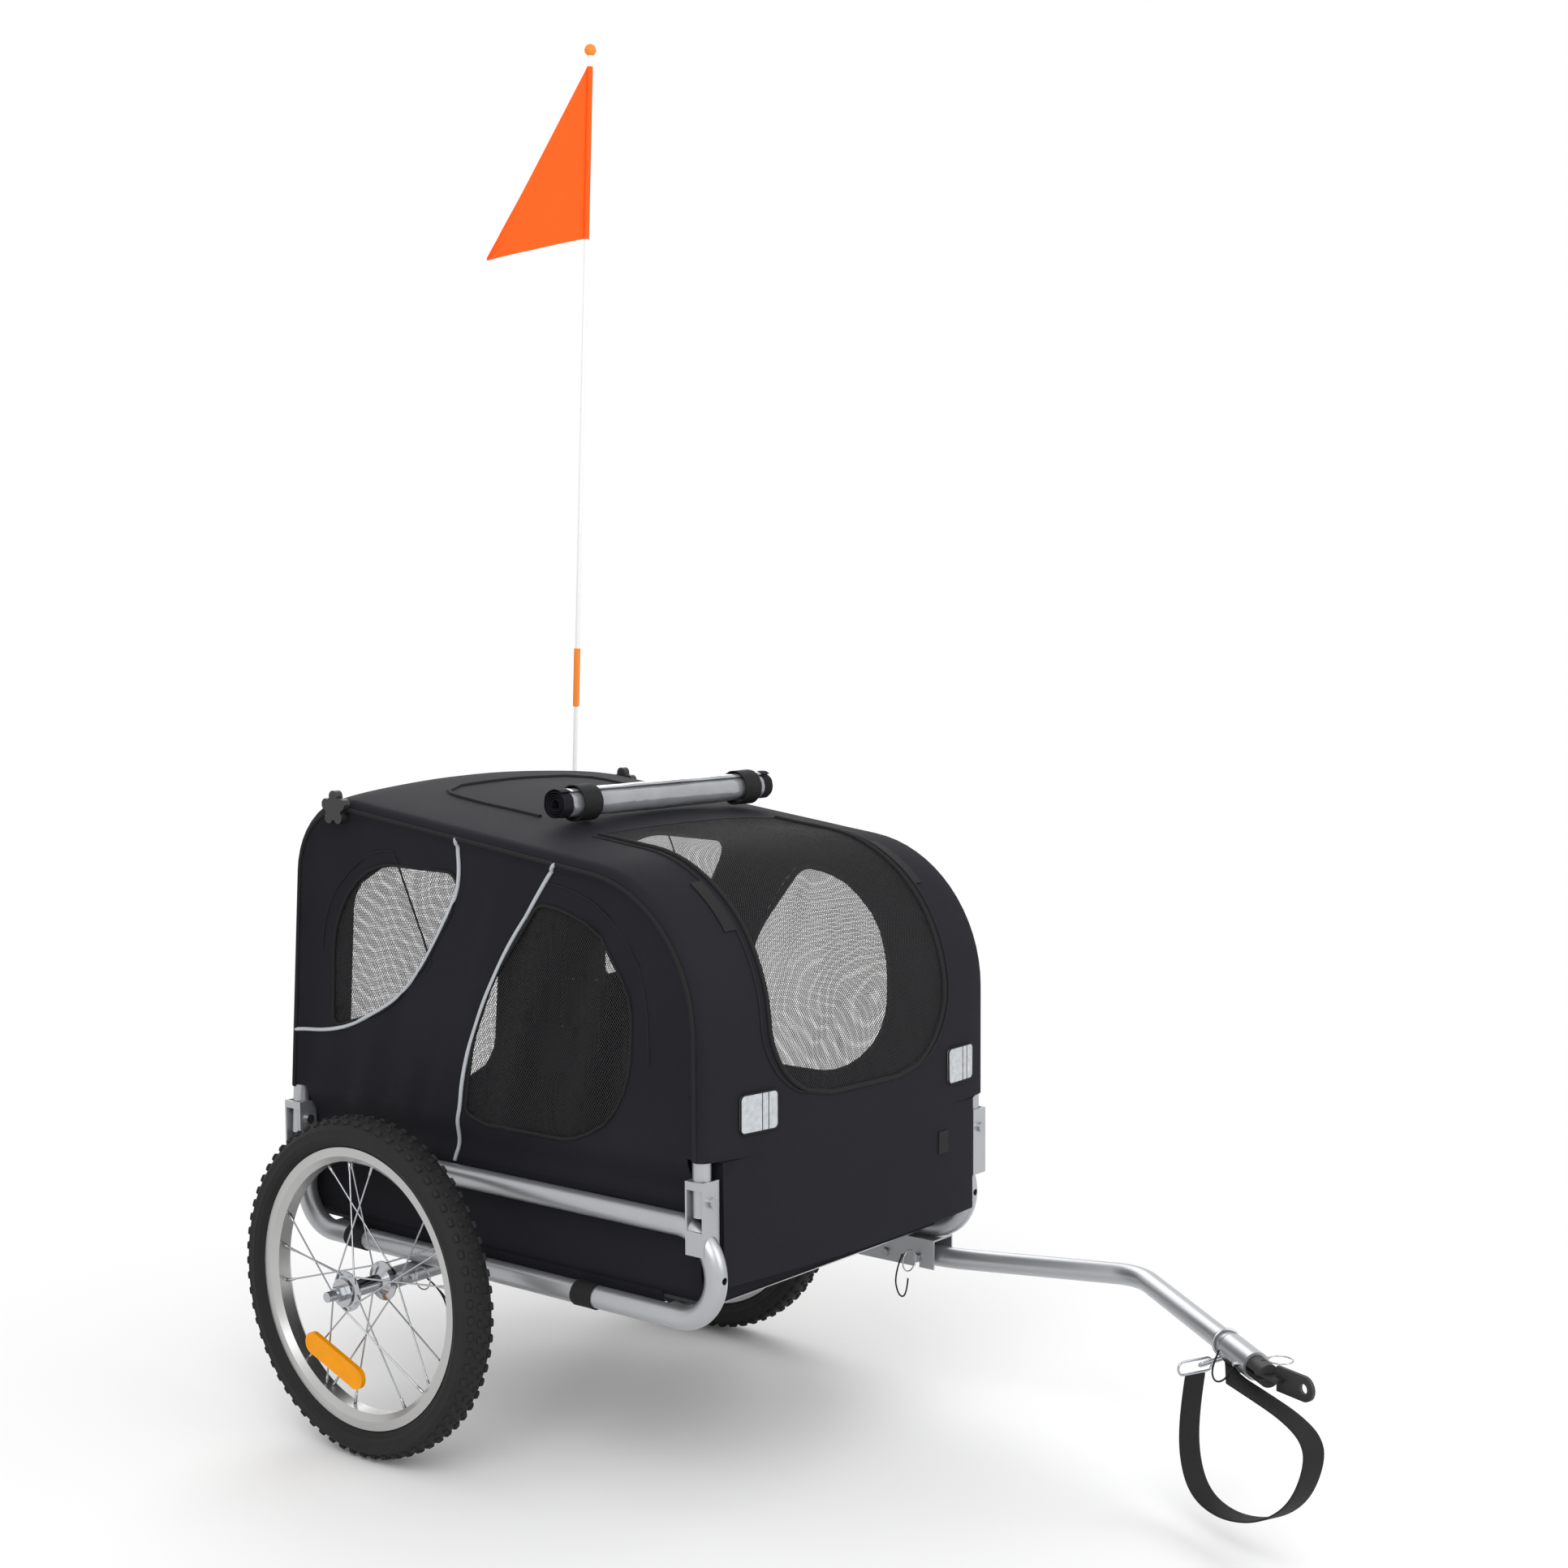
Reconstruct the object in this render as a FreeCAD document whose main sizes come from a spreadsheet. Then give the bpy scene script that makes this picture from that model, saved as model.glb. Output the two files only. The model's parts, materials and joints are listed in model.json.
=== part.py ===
"""Dog bike trailer: folding tube frame, cloth cabin, spoked wheels, tow arm and safety flag.

Millimetres. +X points to the towing bicycle, +Y to the left, +Z up, wheels standing on z = 0.
"""
import FreeCAD, Part
import math
import os
from types import SimpleNamespace

Vector = FreeCAD.Vector
UP = Vector(0, 0, 1)
FORWARD = Vector(1, 0, 0)
LEFT = Vector(0, 1, 0)
SIDES = (("right", -1), ("left", 1))

# Driving dimensions
SIZES = {
    "wheel_radius": 200.0,
    "tyre_width": 46.0,
    "tyre_wall": 2.6,
    "tyre_height": 36.0,
    "rim_depth": 17.5,
    "rim_width": 30.0,
    "rim_wall": 1.4,
    "wheel_track": 616.0,
    "flange_spacing": 58.0,
    "flange_radius": 23.0,
    "flange_thick": 3.0,
    "barrel_radius": 9.5,
    "bearing_radius": 14.0,
    "bearing_width": 9.0,
    "spoke_dia": 2.0,
    "spoke_count": 20,
    "spoke_lead": 62.0,
    "spoke_hole_inset": 3.0,
    "spoke_dish": 3.0,
    "flange_bevel": 1.5,
    "reflector_length": 104.0,
    "reflector_width": 26.0,
    "reflector_thick": 6.0,
    "reflector_centre": 95.0,
    "reflector_angle": 250.0,
    "axle_dia": 12.0,
    "axle_beyond": 57.0,
    "axle_depth": 46.0,
    "axle_tube_dia": 25.0,
    "axle_tube_wall": 2.0,
    "axle_tube_short": 46.0,
    "lock_pin_dia": 5.0,
    "lock_ring_radius": 13.0,
    "ring_wire": 1.8,
    "rail_dia": 25.0,
    "rail_wall": 1.5,
    "rail_inset": 75.0,
    "rail_rear": -206.0,
    "rail_length": 690.0,
    "rail_rise": 102.0,
    "vent_dia": 8.0,
    "cross_dia": 20.0,
    "cross_front": 400.0,
    "cross_rear": -150.0,
    "hoop_dia": 20.0,
    "hoop_wall": 1.5,
    "hoop_front": 453.0,
    "hoop_rear": -203.0,
    "hoop_nest": 23.5,
    "hoop_peak": 742.0,
    "hoop_peak_at": -72.0,
    "roof_slope": 0.125,
    "rear_lean": 0.073,
    "arch_radius": 166.0,
    "rear_radius": 83.0,
    "hoop_foot": 17.0,
    "fold_rise": 30.0,
    "bracket_plate": 2.5,
    "bracket_top": 22.0,
    "bracket_lip": 9.0,
    "bracket_drop": 57.0,
    "bracket_window": 31.0,
    "bolt_dia": 6.0,
    "bolt_head_dia": 11.0,
    "bolt_head": 4.0,
    "cloth": 1.6,
    "mesh": 0.8,
    "seat_gap": 0.3,
    "hem_height": 262.0,
    "panel_foot": 5.0,
    "window_span": 384.7,
    "tub_top_gap": 12.0,
    "tub_rear": -192.0,
    "tub_front": 440.0,
    "floor_thick": 5.0,
    "strap_width": 30.0,
    "floor_strap_front": 285.0,
    "floor_strap_rear": -95.0,
    "door_margin": 81.0,
    "door_sill": 448.0,
    "door_corner": 95.0,
    "door_hinge_at": 238.0,
    "hatch_rear": -60.0,
    "hatch_front": 128.0,
    "hatch_margin": 93.0,
    "hatch_corner": 45.0,
    "cover_crown": 14.0,
    "corner_notch": 40.0,
    "crossbar_dia": 18.0,
    "crossbar_at": -105.0,
    "crossbar_gap": 25.0,
    "crossbar_slot": 40.0,
    "knob_radius": 21.0,
    "knob_lobe": 7.0,
    "knob_thick": 9.5,
    "knob_lobes": 5,
    "roll_at": 176.0,
    "roll_radius": 20.0,
    "roll_right_margin": 68.0,
    "roll_left_margin": 25.0,
    "roll_strap": 30.0,
    "tab_width": 60.0,
    "tab_rise": 46.0,
    "tab_height": 466.0,
    "tab_right_margin": 66.0,
    "tab_left_margin": 47.0,
    "channel_rear": 305.0,
    "channel_front": 436.0,
    "channel_gap": 36.0,
    "channel_plate": 2.2,
    "channel_depth": 36.0,
    "tow_dia": 25.0,
    "tow_wall": 1.8,
    "tow_pivot_at": 364.0,
    "tow_pivot_drop": 26.0,
    "tow_tail": 17.0,
    "tow_lock_at": 412.0,
    "tow_knee_at": 450.0,
    "tow_knee_rise": 2.5,
    "tow_knee_radius": 220.0,
    "tow_bend_at": 691.0,
    "tow_bend_out": 35.0,
    "tow_bend_rise": 16.5,
    "tow_bend_radius": 70.0,
    "tow_yaw": -38.1,
    "tow_pitch": -0.8,
    "tow_reach": 250.0,
    "sleeve_dia": 30.0,
    "sleeve_length": 66.0,
    "stub_dia": 21.0,
    "core_dia": 24.0,
    "core_length": 30.0,
    "core_nose": 12.0,
    "hitch_yaw": -20.0,
    "hitch_plate_thick": 4.0,
    "hitch_plate_width": 26.0,
    "hitch_reach": 58.0,
    "hitch_bore": 10.5,
    "webbing_width": 26.0,
    "strap_yaw": -24.1,
    "strap_at": 158.0,
    "strap_in": 173.0,
    "buckle_rise": 7.0,
    "collar_at": 240.0,
    "hook_wire": 3.4,
    "webbing_thick": 1.8,
    "pole_dia": 6.0,
    "pole_top": 1734.0,
    "pole_base": 303.0,
    "pole_lean": 2.7,
    "pole_join": 888.0,
    "connector_dia": 9.0,
    "connector_length": 80.0,
    "ball_radius": 8.0,
    "pennant_hoist": 228.0,
    "pennant_reach": 138.0,
    "pennant_droop": 35.0,
    "pennant_top_gap": 14.0,
    "pennant_thick": 0.8,
    "pennant_wave": 9.0,
    "pennant_yaw": 236.0,
    "pole_out": 29.0,
    "socket_dia": 12.0,
    "socket_length": 30.0,
    "lanyard_dia": 2.0,
}

doc = FreeCAD.newDocument("dog_bike_trailer")
sheet = doc.addObject("Spreadsheet::Sheet", "Sizes")
for row, (alias, number) in enumerate(SIZES.items(), start=1):
    sheet.set("A%d" % row, alias)
    sheet.set("B%d" % row, str(number))
    sheet.setAlias("B%d" % row, alias)
doc.recompute()
d = SimpleNamespace(**{alias: float(sheet.get(alias)) for alias in SIZES})

# Heights and lines that follow from the driving dimensions
axle_z = d.wheel_radius
rim_radius = d.wheel_radius - d.tyre_height
axle_end = d.wheel_track / 2 + d.axle_beyond
axle_tube_end = d.wheel_track / 2 - d.axle_tube_short
rail_half_span = d.wheel_track / 2 - d.rail_inset
rail_low = axle_z + (d.axle_tube_dia + d.rail_dia) / 2 + d.seat_gap
rail_high = rail_low + d.rail_rise
rail_front = d.rail_rear + d.rail_length
fold_z = rail_high + d.fold_rise
floor_z = rail_low + d.cross_dia / 2 + d.seat_gap
cloth_in = d.hoop_dia / 2 + d.seat_gap
cloth_out = cloth_in + d.cloth
hoop_front = {side: d.hoop_front + d.hoop_nest * (side + 1) / 2 for side in (-1, 0, 1)}
hoop_rear = {side: d.hoop_rear - d.hoop_nest * (side + 1) / 2 for side in (-1, 0, 1)}
panel_y = rail_half_span + cloth_in
tub_top = fold_z - d.tub_top_gap
tub_wall = rail_half_span - d.rail_dia / 2 - d.seat_gap
door_half_width = rail_half_span - d.door_margin
hatch_half_width = rail_half_span - d.hatch_margin
roll_right = d.roll_right_margin - rail_half_span
roll_left = rail_half_span - d.roll_left_margin
tab_right = d.tab_right_margin - rail_half_span
tab_left = rail_half_span - d.tab_left_margin


def direction(yaw, pitch=0.0):
    """Unit vector at a compass angle from +X towards +Y and an angle above level, in degrees."""
    flat = math.cos(math.radians(pitch))
    return Vector(
        flat * math.cos(math.radians(yaw)),
        flat * math.sin(math.radians(yaw)),
        math.sin(math.radians(pitch)),
    )


# Line of the tow arm, from its pivot to the eye of the hitch plate
tow_pivot = Vector(d.tow_pivot_at, rail_half_span, rail_low - d.rail_dia / 2 - d.tow_pivot_drop)
tow_bend = Vector(d.tow_bend_at, tow_pivot.y + d.tow_bend_out, tow_pivot.z + d.tow_bend_rise)
tow_knee = Vector(d.tow_knee_at, tow_pivot.y, tow_pivot.z + d.tow_knee_rise)
tow_first = (tow_knee - tow_pivot).normalize()
tow_second = direction(d.tow_yaw, d.tow_pitch)
tow_end = tow_bend + tow_second * d.tow_reach
sleeve_end = tow_end + tow_second * d.sleeve_length
hitch_pin = sleeve_end + tow_second * (d.core_length - d.core_nose)
hitch_way = direction(d.hitch_yaw)
hitch_eye = hitch_pin + hitch_way * d.hitch_reach

# The origin lies half-way along the whole trailer, which the last section measures
shift_cell = len(SIZES) + 1
sheet.set("A%d" % shift_cell, "origin_shift")
sheet.set("B%d" % shift_cell, "0")
sheet.setAlias("B%d" % shift_cell, "origin_shift")
doc.recompute()

parts = []


def solid(label, *shapes):
    """One sub-part made of one or more separate solids."""
    piece = doc.addObject("Part::Feature", label)
    piece.Label = label
    solids = [each for shape in shapes for each in shape.Solids]
    piece.Shape = solids[0] if len(solids) == 1 else Part.makeCompound(solids)
    piece.setExpression("Placement.Base.x", "Sizes.origin_shift")
    parts.append(piece)
    return piece


def body(label, y="0", z="0"):
    """An empty PartDesign body whose place is bound to the sheet."""
    piece = doc.addObject("PartDesign::Body", label)
    piece.Label = label
    piece.setExpression("Placement.Base.x", "Sizes.origin_shift")
    piece.setExpression("Placement.Base.y", y)
    piece.setExpression("Placement.Base.z", z)
    parts.append(piece)
    return piece


def sketch(owner, name, role, edges):
    """A sketch on one of the body's own origin planes."""
    drawing = owner.newObject("Sketcher::SketchObject", name)
    plane = next(each for each in owner.Origin.OriginFeatures if each.Role == role)
    drawing.AttachmentSupport = (plane, [""])
    drawing.MapMode = "FlatFace"
    for edge in edges:
        drawing.addGeometry(edge, False)
    return drawing


def polygon(points):
    """Line segments round a closed outline of (x, y) pairs."""
    corners = [Vector(x, y, 0) for x, y in points]
    return [Part.LineSegment(a, b) for a, b in zip(corners, corners[1:] + corners[:1])]


def revolve(owner, edges):
    """A full turn of a profile drawn as (radius, axial) about the body's Y axis."""
    profile = sketch(owner, owner.Label + "_profile", "XY_Plane", edges)
    turned = owner.newObject("PartDesign::Revolution", owner.Label + "_turn")
    turned.Profile = profile
    turned.ReferenceAxis = (profile, ["V_Axis"])
    turned.Angle = 360
    return turned


def pad(owner, name, drawing, length, midplane=False):
    """A pad whose length is a sheet expression."""
    raised = owner.newObject("PartDesign::Pad", name)
    raised.Profile = drawing
    raised.setExpression("Length", length)
    raised.Midplane = midplane
    return raised


def rod(start, end, radius):
    """A round bar between two points."""
    return Part.makeCylinder(radius, start.distanceToPoint(end), start, end - start)


def pipe(start, end, outer, inner):
    """An open tube between two points."""
    return rod(start, end, outer).cut(rod(start, end, inner))


def ring(centre, axis, radius, wire):
    """A closed wire ring."""
    return Part.makeTorus(radius, wire / 2, centre, axis)


def rounded_path(points, radii):
    """A wire of straight runs joined by tangent arcs, one radius for each inner point."""
    edges = []
    start = points[0]
    for before, corner, after, radius in zip(points, points[1:], points[2:], radii):
        back = (before - corner).normalize()
        ahead = (after - corner).normalize()
        half = back.getAngle(ahead) / 2
        reach = radius / math.tan(half)
        first = corner + back * reach
        last = corner + ahead * reach
        bisector = (back + ahead).normalize()
        middle = corner + bisector * (radius / math.sin(half) - radius)
        edges.append(Part.LineSegment(start, first).toShape())
        edges.append(Part.Arc(first, middle, last).toShape())
        start = last
    edges.append(Part.LineSegment(start, points[-1]).toShape())
    return Part.Wire(edges)


def swept(path, radius):
    """A round bar along a wire."""
    first = path.Edges[0]
    start = first.valueAt(first.FirstParameter)
    along = first.tangentAt(first.FirstParameter)
    section = Part.Wire([Part.makeCircle(radius, start, along)])
    return path.makePipeShell([section], True, False)


def slab(x0, x1, y0, y1, z0, z1):
    """A block between two corners."""
    return Part.makeBox(x1 - x0, y1 - y0, z1 - z0, Vector(x0, y0, z0))


# Wheels
bead_half = d.rim_width / 2 - d.rim_wall - d.seat_gap
bead_radius = rim_radius - 7.0
tyre_half = d.tyre_width / 2
widest_radius = d.wheel_radius - tyre_half + 3.0


def tyre_profile():
    """Hollow tyre section with beads, drawn as radius and axial place."""

    def half(inset, sign):
        foot = Vector(bead_radius, sign * (bead_half - inset), 0)
        shoulder = Vector(rim_radius + 0.6 + inset / 2, sign * (bead_half - inset), 0)
        side = Vector(widest_radius, sign * (tyre_half - inset), 0)
        crown = Vector(d.wheel_radius - inset, 0, 0)
        turn = Vector((shoulder.x + side.x) / 2 - 1.5, sign * (tyre_half - inset - 1.8), 0)
        tread = Vector(d.wheel_radius - inset - 6.0, sign * (tyre_half - inset) * 0.72, 0)
        return foot, shoulder, turn, side, tread, crown

    edges = []
    for inset in (0.0, d.tyre_wall):
        for sign in (-1, 1):
            foot, shoulder, turn, side, tread, crown = half(inset, sign)
            edges.append(Part.LineSegment(foot, shoulder))
            edges.append(Part.Arc(shoulder, turn, side))
            edges.append(Part.Arc(side, tread, crown))
    for sign in (-1, 1):
        edges.append(Part.LineSegment(half(0.0, sign)[0], half(d.tyre_wall, sign)[0]))
    return edges


def rim_profile():
    """Channel rim with two flanges, a bead seat and a well."""
    half = d.rim_width / 2
    seat = bead_radius - d.seat_gap
    well = seat - 4.0
    inner = rim_radius - d.rim_depth
    upper = [
        (rim_radius, half),
        (rim_radius, half - d.rim_wall),
        (seat, half - d.rim_wall),
        (seat, half * 0.55),
        (well, half * 0.4),
    ]
    lower = [(inner + 7.0, half), (inner, half * 0.55)]
    mirrored = [(radius, -axial) for radius, axial in reversed(upper)]
    return polygon(upper + mirrored + [(r, -a) for r, a in lower] + lower[::-1])


def hub_profile():
    """Hub shell with two spoke flanges and a bearing seat at each end."""
    inner = d.flange_spacing / 2 - d.flange_thick
    outer = d.flange_spacing / 2
    end = outer + 6.0
    seat = d.bearing_radius + 0.05
    bore = d.axle_dia / 2 + 1.2
    shoulder = end - d.bearing_width
    upper = [
        (d.barrel_radius, inner - 8.0),
        (seat + 2.5, inner - 2.0),
        (d.flange_radius, inner),
        (d.flange_radius, outer - d.flange_bevel),
        (seat + 2.5, outer + 1.0),
        (seat + 2.5, end),
        (seat, end),
        (seat, shoulder),
        (bore, shoulder),
    ]
    lower = [(radius, -axial) for radius, axial in reversed(upper)]
    return polygon(upper + lower)


def spoke_set(side):
    """Crossed spokes, half of them to each flange, leaning forward and back by turns."""
    centre = Vector(0, side * d.wheel_track / 2, axle_z)
    per_flange = int(d.spoke_count) // 2
    step = 360.0 / per_flange
    hole = d.flange_radius - d.spoke_hole_inset
    rim_end = rim_radius - d.rim_depth - d.seat_gap
    shapes = []
    for flange in (-1, 1):
        face = flange * (d.flange_spacing / 2 + d.spoke_dia / 2)
        for index in range(per_flange):
            lead = d.spoke_lead if index % 2 else -d.spoke_lead
            at_hub = math.radians(index * step + (step / 2 if flange > 0 else 0))
            at_rim = at_hub + math.radians(lead)
            root = centre + Vector(hole * math.cos(at_hub), face, hole * math.sin(at_hub))
            tip = centre + Vector(rim_end * math.cos(at_rim), flange * d.spoke_dish, rim_end * math.sin(at_rim))
            shapes.append(rod(root, tip, d.spoke_dia / 2))
    return shapes


def wheel_reflector(side):
    """Amber reflector bar with round ends, clipped flat on the outer spokes."""
    angle = math.radians(d.reflector_angle)
    middle = Vector(d.reflector_centre * math.cos(angle), 0, d.reflector_centre * math.sin(angle))
    half = d.reflector_length / 2 - d.reflector_width / 2
    along = Vector(-math.sin(angle), 0, math.cos(angle)) * half
    rise = (d.flange_spacing / 2 + d.spoke_dia) * 0.5 + d.spoke_dia / 2 + 0.1
    centre = Vector(0, side * (d.wheel_track / 2 + rise), axle_z) + middle
    depth = Vector(0, side * d.reflector_thick, 0)
    across = Vector(math.cos(angle), 0, math.sin(angle)) * (d.reflector_width / 2)
    outline = [
        Part.LineSegment(centre - along + across, centre + along + across).toShape(),
        Part.Arc(
            centre + along + across,
            centre + along * (1 + d.reflector_width / 2 / half),
            centre + along - across,
        ).toShape(),
        Part.LineSegment(centre + along - across, centre - along - across).toShape(),
        Part.Arc(
            centre - along - across,
            centre - along * (1 + d.reflector_width / 2 / half),
            centre - along + across,
        ).toShape(),
    ]
    return Part.Face(Part.Wire(outline)).extrude(depth)


def bearings(side):
    """Two ball bearings, drawn as closed rings on the axle."""
    shapes = []
    for end in (-1, 1):
        outer = end * (d.flange_spacing / 2 + 6.0)
        inner = outer - end * d.bearing_width
        middle = side * d.wheel_track / 2
        start = Vector(0, middle + inner, axle_z)
        stop = Vector(0, middle + outer, axle_z)
        shapes.append(pipe(start, stop, d.bearing_radius, d.axle_dia / 2 + 0.05))
    return shapes


for name, side in SIDES:
    place = "%d * Sizes.wheel_track / 2" % side
    revolve(body("tyre_" + name, place, "Sizes.wheel_radius"), tyre_profile())
    revolve(body("rim_" + name, place, "Sizes.wheel_radius"), rim_profile())
    revolve(body("hub_" + name, place, "Sizes.wheel_radius"), hub_profile())
    solid("spokes_" + name, *spoke_set(side))
    solid("bearings_" + name, *bearings(side))
    solid("wheel_reflector_" + name, wheel_reflector(side))


# Frame tubes
def loop_outline(side):
    """Straight rails and half-round ends of one side loop, as centre-line pieces."""
    y = side * rail_half_span
    bend = d.rail_rise / 2
    rear = d.rail_rear + d.rail_dia / 2 + bend
    front = rail_front - d.rail_dia / 2 - bend
    return y, bend, rear, front


def loop_tube(side, radius):
    """One side loop as a closed round bar."""
    y, bend, rear, front = loop_outline(side)
    middle = rail_low + bend
    low = rod(Vector(rear, y, rail_low), Vector(front, y, rail_low), radius)
    high = rod(Vector(rear, y, rail_high), Vector(front, y, rail_high), radius)
    whole = Part.makeTorus(bend, radius, Vector(0, 0, 0), LEFT)
    reach = bend + radius + 1.0
    ends = []
    for x, low_x, high_x in ((rear, -reach, 0.0), (front, 0.0, reach)):
        half = whole.common(slab(low_x, high_x, -reach, reach, -reach, reach))
        half.translate(Vector(x, y, middle))
        ends.append(half)
    return low.fuse([high] + ends).removeSplitter()


def side_loop(side):
    """Hollow side loop with a vent hole in its front bend."""
    y, bend, rear, front = loop_outline(side)
    tube = loop_tube(side, d.rail_dia / 2).cut(loop_tube(side, d.rail_dia / 2 - d.rail_wall))
    tip = Vector(front + bend, y, rail_low + bend)
    return tube.cut(rod(tip, tip + FORWARD * d.rail_dia, d.vent_dia / 2))


def axle_tube():
    """Cross tube under the rails, bushed at both ends for the wheel axles."""
    end = axle_tube_end
    outer = rod(Vector(0, -end, axle_z), Vector(0, end, axle_z), d.axle_tube_dia / 2)
    socket = d.axle_dia / 2 + d.seat_gap
    hollow = rod(
        Vector(0, -end + d.axle_depth, axle_z),
        Vector(0, end - d.axle_depth, axle_z),
        d.axle_tube_dia / 2 - d.axle_tube_wall,
    )
    tube = outer.cut([hollow, rod(Vector(0, -end, axle_z), Vector(0, end, axle_z), socket)])
    return tube.cut([lock_hole(side) for name, side in SIDES])


def lock_y(side):
    """Where the lock pin crosses the axle tube."""
    return side * (axle_tube_end - d.axle_depth / 3)


def lock_hole(side):
    """Cross hole for the wheel's lock pin."""
    start = Vector(-d.axle_tube_dia, lock_y(side), axle_z)
    return rod(start, start + FORWARD * 2 * d.axle_tube_dia, d.lock_pin_dia / 2 + d.seat_gap)


def wheel_axle(side):
    """Stub axle with its outer nut and inner cone, cross-drilled for the lock pin."""
    inner = Vector(0, side * (axle_tube_end - d.axle_depth + 2.0), axle_z)
    outer = Vector(0, side * axle_end, axle_z)
    hub_end = d.wheel_track / 2 + d.flange_spacing / 2 + 6.0 + d.seat_gap
    nut = Part.Face(Part.makePolygon(hexagon(Vector(0, side * hub_end, axle_z), 9.0)))
    cone_start = Vector(0, side * (axle_tube_end + d.seat_gap), axle_z)
    cone_end = Vector(0, side * (d.wheel_track / 2 - d.flange_spacing / 2 - 6.0 - d.seat_gap), axle_z)
    shaft = rod(inner, outer, d.axle_dia / 2)
    parts_of_axle = [nut.extrude(LEFT * side * 9.0), rod(cone_start, cone_end, d.axle_dia / 2 + 3.0)]
    return shaft.fuse(parts_of_axle).removeSplitter().cut(lock_hole(side))


def hexagon(centre, radius):
    """Corner points of a hexagon square to the Y axis."""
    corners = []
    for index in range(7):
        angle = math.radians(60 * index)
        corners.append(centre + Vector(radius * math.cos(angle), 0, radius * math.sin(angle)))
    return corners


def wire_pin(head, way, length, radius, ring_axis):
    """Lock pin with a flat head and a wire ring through the head."""
    shaft = rod(head, head + way * length, radius)
    cap = rod(head, head - way * 4.0, radius + 2.2)
    eye = ring(head - way * (4.0 + d.lock_ring_radius), ring_axis, d.lock_ring_radius, d.ring_wire)
    return shaft.fuse([cap, eye]).removeSplitter()


def wheel_lock_pin(side):
    """The pin that keeps the stub axle in its tube, pulled out forward."""
    head = Vector(d.axle_tube_dia / 2 + d.seat_gap, lock_y(side), axle_z)
    return wire_pin(head, FORWARD * -1, d.axle_tube_dia + 5.0, d.lock_pin_dia / 2, LEFT)


def cross_tubes():
    """Two cross tubes between the lower rails, cut to the rails' round sides."""
    shapes = []
    notches = [loop_tube(side, d.rail_dia / 2 + 0.1) for name, side in SIDES]
    for x in (d.cross_front, d.cross_rear):
        end = rail_half_span
        tube = pipe(Vector(x, -end, rail_low), Vector(x, end, rail_low), d.cross_dia / 2, d.cross_dia / 2 - 1.5)
        pieces = tube.cut(notches).Solids
        shapes.append(max(pieces, key=lambda piece: piece.Volume))
    return shapes


for name, side in SIDES:
    solid("side_loop_" + name, side_loop(side))
solid("axle_tube", axle_tube())
solid("cross_tubes", *cross_tubes())
for name, side in SIDES:
    solid("wheel_axle_" + name, wheel_axle(side))
    solid("wheel_lock_pin_" + name, wheel_lock_pin(side))


# Folding hoops
def roof_height(x):
    """Height of the hoop's centre-line along its straight roof run."""
    return d.hoop_peak - d.roof_slope * (x - d.hoop_peak_at)


def hoop_corners(side):
    """Foot, front corner, rear corner and rear foot of the hoop's centre-line, in x and z."""
    front = hoop_front[side]
    rear_foot = hoop_rear[side]
    foot = fold_z - d.hoop_foot
    peak = d.hoop_peak + d.roof_slope * d.hoop_peak_at
    rear_x = (rear_foot + d.rear_lean * (peak - fold_z)) / (1 + d.rear_lean * d.roof_slope)
    lower_rear = rear_foot - d.rear_lean * d.hoop_foot
    return (
        Vector(front, 0, foot),
        Vector(front, 0, roof_height(front)),
        Vector(rear_x, 0, roof_height(rear_x)),
        Vector(lower_rear, 0, foot),
    )


def hoop_line(side, y):
    """Centre-line of one hoop as a wire."""
    shift = Vector(0, y, 0)
    corners = [corner + shift for corner in hoop_corners(side)]
    return rounded_path(corners, (d.arch_radius, d.rear_radius))


POST_LEANS = (0.0, d.rear_lean)


def pivot_points(side):
    """Where the two pivot bolts cross the hoop's posts."""
    y = side * rail_half_span
    return (Vector(hoop_front[side], y, fold_z), Vector(hoop_rear[side], y, fold_z))


def hoop(side):
    """Bent roof tube, drilled for its two pivot bolts and the knob's screw."""
    line = hoop_line(side, side * rail_half_span)
    tube = swept(line, d.hoop_dia / 2).cut(swept(line, d.hoop_dia / 2 - d.hoop_wall))
    cuts = []
    for point in pivot_points(side):
        cuts.append(rod(point - FORWARD * d.hoop_dia, point + FORWARD * d.hoop_dia, d.bolt_dia / 2 + 0.1))
    screw = knob_point(side)
    cuts.append(rod(screw - LEFT * d.hoop_dia, screw + LEFT * d.hoop_dia, d.bolt_dia / 2 + 0.05))
    return tube.cut(cuts)


def knob_point(side):
    """Where the knob's screw crosses the hoop."""
    return Vector(d.crossbar_at, side * rail_half_span, roof_height(d.crossbar_at))


def knob(side):
    """Star knob with its screw, which holds the crossbar's slotted end."""
    point = knob_point(side)
    start = point + LEFT * side * (cloth_out + d.seat_gap)
    grip = rod(start, start + LEFT * side * d.knob_thick, d.knob_radius - d.knob_lobe)
    lobes = []
    for index in range(int(d.knob_lobes)):
        angle = 2 * math.pi * (index + 0.25) / d.knob_lobes
        reach = d.knob_radius - d.knob_lobe
        centre = start + Vector(math.cos(angle), 0, math.sin(angle)) * reach
        lobes.append(rod(centre, centre + LEFT * side * d.knob_thick, d.knob_lobe))
    tip = point - LEFT * side * (d.hoop_dia / 2 + d.crossbar_gap + 10.0)
    screw = rod(start, tip, d.bolt_dia / 2)
    return grip.fuse(lobes + [screw]).removeSplitter()


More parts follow.
